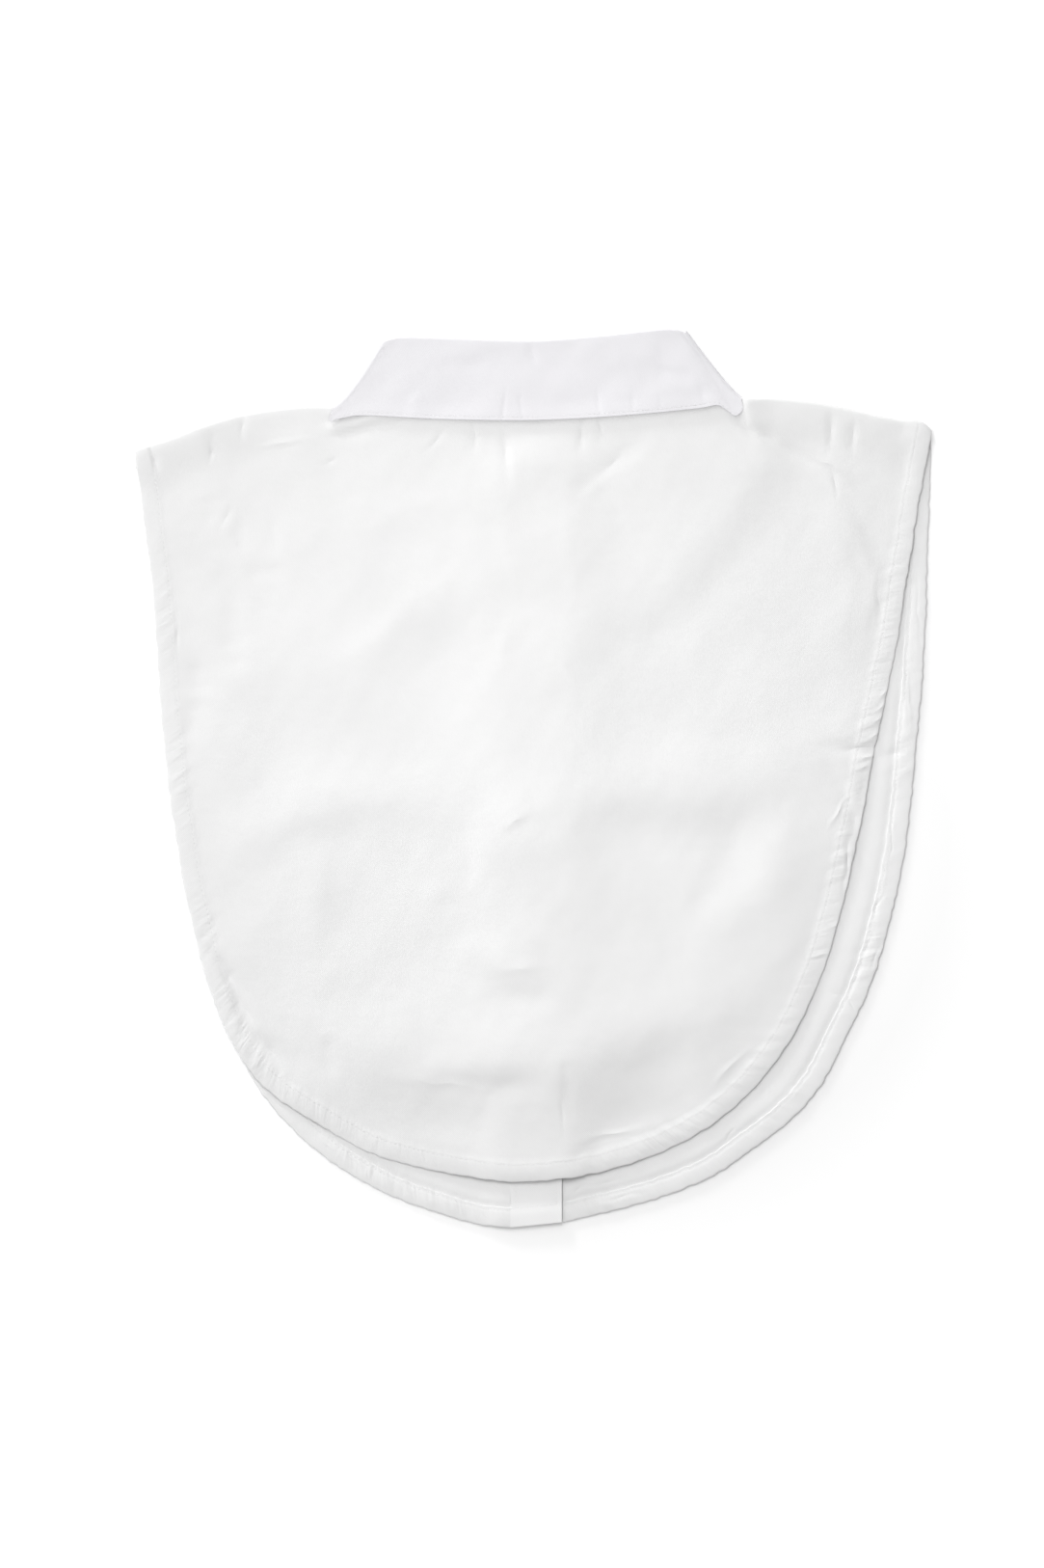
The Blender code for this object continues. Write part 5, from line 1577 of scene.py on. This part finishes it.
@dataclass
class CollarLeaf(CollarRing):
    """The leaf, folded over the top of the stand and edge-stitched, with two front points."""

    fold_steps: int = 12
    fall_rows: int = 16
    stitch_in: float = 1.7
    creases: tuple[Crease, ...] = (
        Crease(((-16.5, 184.0), (-14.5, 200.0)), -0.2, 1.2, 1.1, 0.4),
        Crease(((-5.75, 185.0), (-7.5, 199.0)), -0.15, 1.0, 1.3, 0.4),
        Crease(((34.25, 186.0), (33.0, 200.0)), -0.17, 1.2, 1.3, 0.4),
        Crease(((50.75, 188.0), (51.5, 199.0)), -0.12, 1.2, 1.4, 0.4),
        Crease(((66.0, 189.0), (65.5, 199.0)), -0.12, 1.2, 1.4, 0.4),
        Crease(((88.25, 192.0), (86.5, 204.0)), -0.13, 1.3, 1.5, 0.4),
        Crease(((63.0, 211.5), (83.0, 208.0)), -0.4, 2.5, 4.0),
        Crease(((-50.0, 214.0), (-24.0, 215.0)), -0.3, 4.0, 4.0),
        Crease(((-30.0, 206.0), (20.0, 203.0)), 0.3, 7.0, 8.0),
        Crease(((-1.5, 223.0), (0.5, 217.0)), -0.3, 2.0, 2.4, 0.6),
        Crease(((-86.0, 200.0), (-70.0, 216.0)), -0.3, 5.0, 6.0),
        Crease(((40.0, 214.0), (66.0, 222.0)), 0.25, 6.0, 5.0),
        Crease(((-64.0, 192.0), (-58.0, 200.0)), 0.3, 3.0, 4.0),
    )

    def build(self) -> tuple[bpy.types.Object, list[Array]]:
        """Makes the leaf.

        Returns:
            The piece, and the lines of its edge stitches.
        """
        fronts = [
            np.concatenate(leaf_front_lines(corner, spots, self.front_lines), axis=1)
            for corner, spots in ((LEFT, LEAF_FRONT_LEFT), (RIGHT, LEAF_FRONT_RIGHT))
        ]
        back = leaf_back_lines(self.back_lines)
        turn, sides = self.turns(len(back))
        lines = self.lines(fronts[0], back, fronts[1])
        fold, knee, edge = lines[:, 0:2], lines[:, 2:4], lines[:, 4:6]
        stand_z = stand_front_z(fold, sides)
        up = (fold - knee) / np.linalg.norm(fold - knee, axis=1)[:, None]
        angles = np.linspace(0.0, math.pi, self.fold_steps + 1)
        in_back = turn > math.pi / 2
        radius = np.where(in_back, (LEAF_BACK_Z - STAND_BACK_Z) / 2, (stand_z - LEAF_FRONT_Z) / 2)
        roll_plan = fold[:, None] + up[:, None] * (radius[:, None] * np.sin(angles))[..., None]
        length = np.linalg.norm(fold - knee, axis=1) + np.linalg.norm(knee - edge, axis=1)
        from_edge = np.array([9.0, 7.2, 5.6, 4.3, 3.2, 2.6, 2.1, 1.7, 1.3, 0.9, 0.5, 0.2, 0.0])
        upper = np.linspace(0.0, 1.0, self.fall_rows)[1:] * (1.0 - 11.0 / length[:, None])
        fall = np.concatenate([upper, 1.0 - from_edge / length[:, None]], axis=1)[..., None]
        fall_plan = (1.0 - fall) ** 2 * fold[:, None] + 2.0 * fall * (1.0 - fall) * knee[:, None]
        fall_plan += fall**2 * edge[:, None]
        way = (1.0 - fall) * (fold - knee)[:, None] + fall * (knee - edge)[:, None]
        fall_up = way / np.linalg.norm(way, axis=2)[..., None]
        plan = np.concatenate([roll_plan, fall_plan], axis=1)
        ways = np.concatenate([np.repeat(up[:, None], len(angles), axis=1), fall_up], axis=1)
        over = np.concatenate([(1.0 - np.cos(angles)) / 2, np.ones(fall.shape[1])])[None, :]
        front_z = stand_z[:, None] + (LEAF_FRONT_Z - stand_z[:, None]) * over
        back_z = STAND_BACK_Z + (LEAF_BACK_Z - STAND_BACK_Z) * over + np.zeros_like(front_z)
        middle = self.placed(plan, ways, sides, turn, front_z, back_z)
        first_fall = len(angles)
        middle[..., 2] += self.relief(middle, turn, first_fall, length, fall[..., 0])
        piece = lay_cloth(self.name, middle, self.flat(middle), COLLAR - 0.15, rounding=0.35)
        row = first_fall + upper.shape[1] + int(np.argmin(np.abs(from_edge - self.stitch_in)))
        face = np.cross(np.gradient(middle, axis=0), np.gradient(middle, axis=1))
        face /= np.linalg.norm(face, axis=2)[..., None]
        face *= np.sign(face[len(turn) // 2, row, 2])
        line = (middle + face * (COLLAR / 2 - 0.05))[:, row]
        return piece, [line]

    def relief(self, middle: Array, turn: Array, first_fall: int, length: Array, fall: Array) -> Array:
        """Creases and the stitched groove of the leaf where it lies in the back layer.

        Args:
            middle: The leaf's middle surface.
            turn: Angle of each line round its turn.
            first_fall: The first row below the fold.
            length: Length of each line from fold to edge.
            fall: Share of that length at each row below the fold.

        Returns:
            Height to add at each point.
        """
        points = middle[..., :2].reshape(-1, 2)
        total = 0.14 * unevenness(points, 34.0, 77) + 0.06 * unevenness(points, 13.0, 78)
        for crease in self.creases:
            total += crease.relief(points)
        total = total.reshape(middle.shape[:2])
        from_edge = (1.0 - fall) * length[:, None]
        total[:, first_fall:] -= 0.05 * np.exp(-(((from_edge - self.stitch_in) / 0.5) ** 2))
        total[:, first_fall:] += 0.35 * (1.0 - ease(from_edge / 9.0))
        total[:, :first_fall] *= 0.3
        edge = middle[:, -1, :2]
        from_corner = np.minimum(*(np.linalg.norm(edge - corner.edge, axis=1) for corner in (LEFT, RIGHT)))
        return total * ((turn > 3.0) * ease(from_corner / 14.0))[:, None]


@dataclass(frozen=True)
class ShirtButton:
    """A four-hole button, turned with a dished face, face down and sewn on through its holes."""

    name: str
    y: float
    hole_from_centre: float = 1.45
    hole_radius: float = 0.55

    def build(self) -> bpy.types.Object:
        """Makes the button with its holes cut through."""
        profile = (
            (0.0, 0.75), (2.7, 0.75), (3.3, 0.55), (3.8, 0.12), (4.3, 0.0), (5.0, 0.03), (5.45, 0.25), (5.68, 0.65),
            (5.6, 1.1), (5.2, 1.5), (4.5, 1.75), (3.6, 1.8), (0.0, 1.8),
        )
        made = bmesh.new()
        spots = [made.verts.new((radius * MM, 0.0, z * MM)) for radius, z in profile]
        edges = [made.edges.new(pair) for pair in zip(spots, spots[1:])]
        bmesh.ops.spin(
            made, geom=spots + edges, axis=(0.0, 0.0, 1.0), cent=(0.0, 0.0, 0.0), steps=40,
            angle=2.0 * math.pi, use_merge=True, use_duplicate=False,
        )
        bmesh.ops.remove_doubles(made, verts=made.verts, dist=0.005 * MM)
        bmesh.ops.recalc_face_normals(made, faces=made.faces)
        bmesh.ops.translate(made, verts=made.verts, vec=(CENTRE_FRONT * MM, self.y * MM, 0.0))
        piece = keep_mesh(self.name, made)
        drill = bmesh.new()
        for number in range(4):
            turn = math.pi / 4 + number * math.pi / 2
            place = Vector((math.cos(turn), math.sin(turn), 0.0)) * self.hole_from_centre
            place += Vector((CENTRE_FRONT, self.y, 1.0))
            bmesh.ops.create_cone(
                drill, cap_ends=True, segments=16, radius1=self.hole_radius * MM, radius2=self.hole_radius * MM,
                depth=4.0 * MM, matrix=Matrix.Translation(place * MM),
            )
        cutter = keep_mesh("hole_cutter", drill)
        cut = piece.modifiers.new("holes", "BOOLEAN")
        cut.object = cutter
        cut.solver = "EXACT"
        harden(piece, BUTTON_SHARP)
        bpy.data.objects.remove(cutter)
        return piece

    def thread_bars(self) -> bpy.types.Object:
        """The two bars of thread that cross the button's dished face between its holes."""
        made = bmesh.new()
        half = self.hole_from_centre * math.sqrt(0.5)
        size = Matrix.Diagonal(((half + 0.35) * MM, 0.4 * MM, 0.28 * MM, 1.0))
        for side in (-1.0, 1.0):
            place = Matrix.Translation(Vector((CENTRE_FRONT, self.y + side * half, 0.62)) * MM)
            bmesh.ops.create_icosphere(made, subdivisions=2, radius=1.0, matrix=place @ size)
        return keep_mesh(self.name + "_thread", made)


@dataclass(frozen=True)
class Buttonhole:
    """A worked buttonhole along the band, with close stitches on both sides and a bar at each end."""

    y: float
    half_length: float = 7.0
    bars: int = 18

    def work(self, made: bmesh.types.BMesh) -> None:
        """Adds its stitches to a bmesh, on the outer face of the right band."""
        side_size = Matrix.Diagonal((0.9 * MM, 0.4 * MM, 0.16 * MM, 1.0))
        end_size = Matrix.Diagonal((1.9 * MM, 0.45 * MM, 0.2 * MM, 1.0))
        rows = [(side, y, side_size) for side in (-1.0, 1.0) for y in np.linspace(-1.0, 1.0, self.bars)]
        rows += [(0.0, end, end_size) for end in (-1.08, 1.08)]
        spots = np.array([(CENTRE_FRONT + side, self.y + y * self.half_length) for side, y, _ in rows])
        for (x, y), height, (_, _, size) in zip(spots, front_lift(spots), rows):
            place = Matrix.Translation(Vector((x, y, height + 0.02)) * MM)
            bmesh.ops.create_icosphere(made, subdivisions=1, radius=1.0, matrix=place @ size)


@dataclass(frozen=True)
class Studio:
    """A white table, soft daylight from the upper left and a camera that looks straight down."""

    frame_height: float = 813.0
    frame_centre: Spot = (-6.0, -2.75)
    distance: float = 3000.0
    sensor: float = 36.0
    ambient: float = 0.35
    key_strength: float = 1.05
    key_angle: float = 60.0
    key_from: tuple[float, float, float] = (-0.5, 0.76, 0.9)
    low_strength: float = 1.4
    low_angle: float = 9.0
    low_from: tuple[float, float, float] = (-0.5, 0.85, 0.19)
    fill_strength: float = 0.45
    fill_angle: float = 50.0
    fill_from: tuple[float, float, float] = (-0.85, -0.4, 0.4)
    box_energy: float = 1.25
    box_size: float = 0.35
    box_place: tuple[float, float, float] = (-0.04, 0.08, 0.52)
    # Glow of the table from near to far round a centre at the collar's lower right: the weak glow near it is a painted
    # shadow beside the collar
    painted_shadow_glow: tuple[float, float] = (0.01, 0.35)
    painted_shadow_reach: tuple[float, float] = (0.18, 0.34)
    painted_shadow_centre: Spot = (35.0, -35.0)

    def table(self) -> None:
        """Lays the table under the collar, a paper that glows, least round the collar's lower right, where the weaker
        glow is a painted shadow.
        """
        made = bmesh.new()
        bmesh.ops.create_grid(made, x_segments=1, y_segments=1, size=4.0)
        bmesh.ops.translate(made, verts=made.verts, vec=(0.0, 0.0, -0.15 * MM))
        surface = keep_mesh("white_table", made)
        paper = bpy.data.materials.new("glowing_backdrop_with_painted_shadow")
        paper.use_nodes = True
        shader = paper.node_tree.nodes["Principled BSDF"]
        shader.inputs["Base Color"].default_value = linear("#FDFDFD")
        shader.inputs["Roughness"].default_value = 0.95
        shader.inputs["Specular IOR Level"].default_value = 0.1
        shader.inputs["Emission Color"].default_value = (1.0, 1.0, 1.0, 1.0)
        tree = paper.node_tree
        place = add_node(tree, "ShaderNodeTexCoord")
        away = add_node(
            tree, "ShaderNodeVectorMath", {"operation": "DISTANCE"},
            {1: (self.painted_shadow_centre[0] * MM, self.painted_shadow_centre[1] * MM, -0.15 * MM)}, {0: place.outputs["Object"]},
        )
        # Less glow close to the collar's lower right paints a soft shadow on the table there
        painted_shadow_glow = add_node(
            tree, "ShaderNodeMapRange", None,
            {
                "From Min": self.painted_shadow_reach[0], "From Max": self.painted_shadow_reach[1],
                "To Min": self.painted_shadow_glow[0], "To Max": self.painted_shadow_glow[1],
            },
            {"Value": away.outputs["Value"]},
        )
        tree.links.new(painted_shadow_glow.outputs[0], shader.inputs["Emission Strength"])
        surface.data.materials.append(paper)

    def lights(self) -> None:
        """Adds the room's light, two lamps from the upper left, a weak one below them and a softbox overhead."""
        room = bpy.data.worlds.new("room_light")
        room.use_nodes = True
        background = room.node_tree.nodes["Background"]
        background.inputs["Color"].default_value = (1.0, 1.0, 1.0, 1.0)
        background.inputs["Strength"].default_value = self.ambient
        bpy.context.scene.world = room
        for name, strength, angle, place in (
            ("wide_lamp", self.key_strength, self.key_angle, self.key_from),
            ("low_lamp", self.low_strength, self.low_angle, self.low_from),
            ("fill_lamp", self.fill_strength, self.fill_angle, self.fill_from),
        ):
            sun = bpy.data.lights.new(name, "SUN")
            sun.energy = strength
            sun.angle = math.radians(angle)
            lamp = bpy.data.objects.new(name, sun)
            lamp.rotation_euler = (-Vector(place)).to_track_quat("-Z", "Y").to_euler()
            bpy.context.scene.collection.objects.link(lamp)
        panel = bpy.data.lights.new("softbox", "AREA")
        panel.shape = "SQUARE"
        panel.size = self.box_size
        panel.energy = self.box_energy
        softbox = bpy.data.objects.new("softbox", panel)
        softbox.location = self.box_place
        softbox.visible_camera = False
        bpy.context.scene.collection.objects.link(softbox)

    def camera(self) -> None:
        """Adds the camera over the middle of the collar."""
        lens = bpy.data.cameras.new("top_view")
        lens.type = "PERSP"
        lens.sensor_width = self.sensor
        lens.lens = self.sensor * self.distance / self.frame_height
        lens.clip_start = 0.1
        lens.clip_end = 20.0
        stand = bpy.data.objects.new("top_view", lens)
        stand.location = Vector((*self.frame_centre, self.distance)) * MM
        bpy.context.scene.collection.objects.link(stand)
        bpy.context.scene.camera = stand

    def build(self) -> None:
        """Sets up the table, the lights and the camera."""
        self.table()
        self.lights()
        self.camera()
        bpy.context.scene.view_settings.view_transform = "Standard"


def sew_panels(
    back_cotton: bpy.types.Material, front_cotton: bpy.types.Material, thread: bpy.types.Material
) -> None:
    """Makes the back and both fronts with their hem stitches.

    Args:
        back_cotton: The back's cloth.
        front_cotton: The fronts' cloth.
        thread: Their sewing thread.
    """
    stitch = Lockstitch()
    panels: tuple[tuple[HemmedPanel, Spot, float, str], ...] = (
        (
            FrontPanel(
                "left_front_cloth", "left_front", LEFT_FRONT_HEM, HemTurn.OVER, 300, 30, FRONT_PUCKERS, 0.2, 11,
                roll=LEFT_ROLL, seam_x=BAND_LEFT + 0.15, climb=BAND + GAP,
            ),
            (0.215, 0.435), 0.067, "white_table",
        ),
        (
            FrontPanel(
                "right_front_cloth", "right_front", RIGHT_FRONT_HEM, HemTurn.OVER, 300, 30, FRONT_PUCKERS, 0.2, 12,
                roll=RIGHT_ROLL, seam_x=BAND_RIGHT + GAP,
            ),
            (0.215, 0.435), 0.067, "white_table",
        ),
        (
            BackPanel("back_panel_cloth", "back_panel", BACK_HEM, HemTurn.UNDER, 421, 76, BACK_PUCKERS, 0.25, 13),
            (0.44, 0.43), 0.152, "left_front",
        ),
    )
    for panel, cut, area, support in panels:
        piece, line = panel.build()
        cotton = back_cotton if isinstance(panel, BackPanel) else front_cotton
        dress(piece, cotton, panel.node)
        stitches = stitch.sew(panel.node + "_hem_stitches", [line])
        dress(stitches, thread)


def sew_bands(cotton: bpy.types.Material, thread: bpy.types.Material) -> None:
    """Makes both bands of the closing, their stitches and the buttonholes.

    Args:
        cotton: The bands' cloth.
        thread: Their sewing thread.
    """
    bands = (
        ("left_band", ButtonBand("left_band_cloth", BAND + GAP, (-232.6, -229.9), 1.0)),
        ("right_band", ButtonBand("right_band_cloth", 0.0, (-231.4, -228.7), -1.0)),
    )
    for node, band in bands:
        piece, lines = band.build()
        dress(piece, cotton, node)
        stitches = Lockstitch(width=0.28).sew(node + "_stitches", lines)
        dress(stitches, thread)
    made = bmesh.new()
    for y in BUTTONS_Y[1:]:
        Buttonhole(y).work(made)
    dress(keep_mesh("buttonholes", made), thread)


def sew_collar(cotton: bpy.types.Material, thread: bpy.types.Material) -> None:
    """Makes the stand and the leaf with its edge stitches.

    Args:
        cotton: The collar's cloth.
        thread: Its sewing thread.
    """
    stand = CollarStand("collar_stand_cloth").build()
    dress(stand, cotton, "collar_stand")
    leaf, lines = CollarLeaf("collar_leaf_cloth", back_lines=301).build()
    dress(leaf, cotton, "collar_leaf")
    stitches = Lockstitch(width=0.26, height=0.12).sew("leaf_edge_stitches", lines)
    dress(stitches, thread)


def sew_buttons(polyester: bpy.types.Material, thread: bpy.types.Material) -> None:
    """Makes the five buttons and the thread that holds them.

    Args:
        polyester: The buttons' material.
        thread: Their sewing thread.
    """
    nodes = ("button_collar", "button_1", "button_2", "button_3", "button_4")
    for node, y in zip(nodes, BUTTONS_Y):
        button = ShirtButton(node + "_turned", y)
        dress(button.build(), polyester, node)
        dress(button.thread_bars(), thread)


def main() -> None:
    """Makes every piece of the collar, then the studio round it."""
    logging.basicConfig(level=logging.INFO, format="%(name)s %(message)s")
    thread = WHITE_THREAD.material()
    sew_buttons(WHITE_POLYESTER.material(), thread)
    sew_bands(BAND_POPLIN.material(), thread)
    sew_panels(BACK_POPLIN.material(), FRONT_POPLIN.material(), thread)
    sew_collar(COLLAR_POPLIN.material(), thread)
    Studio().build()


if __name__ == "__main__":
    main()
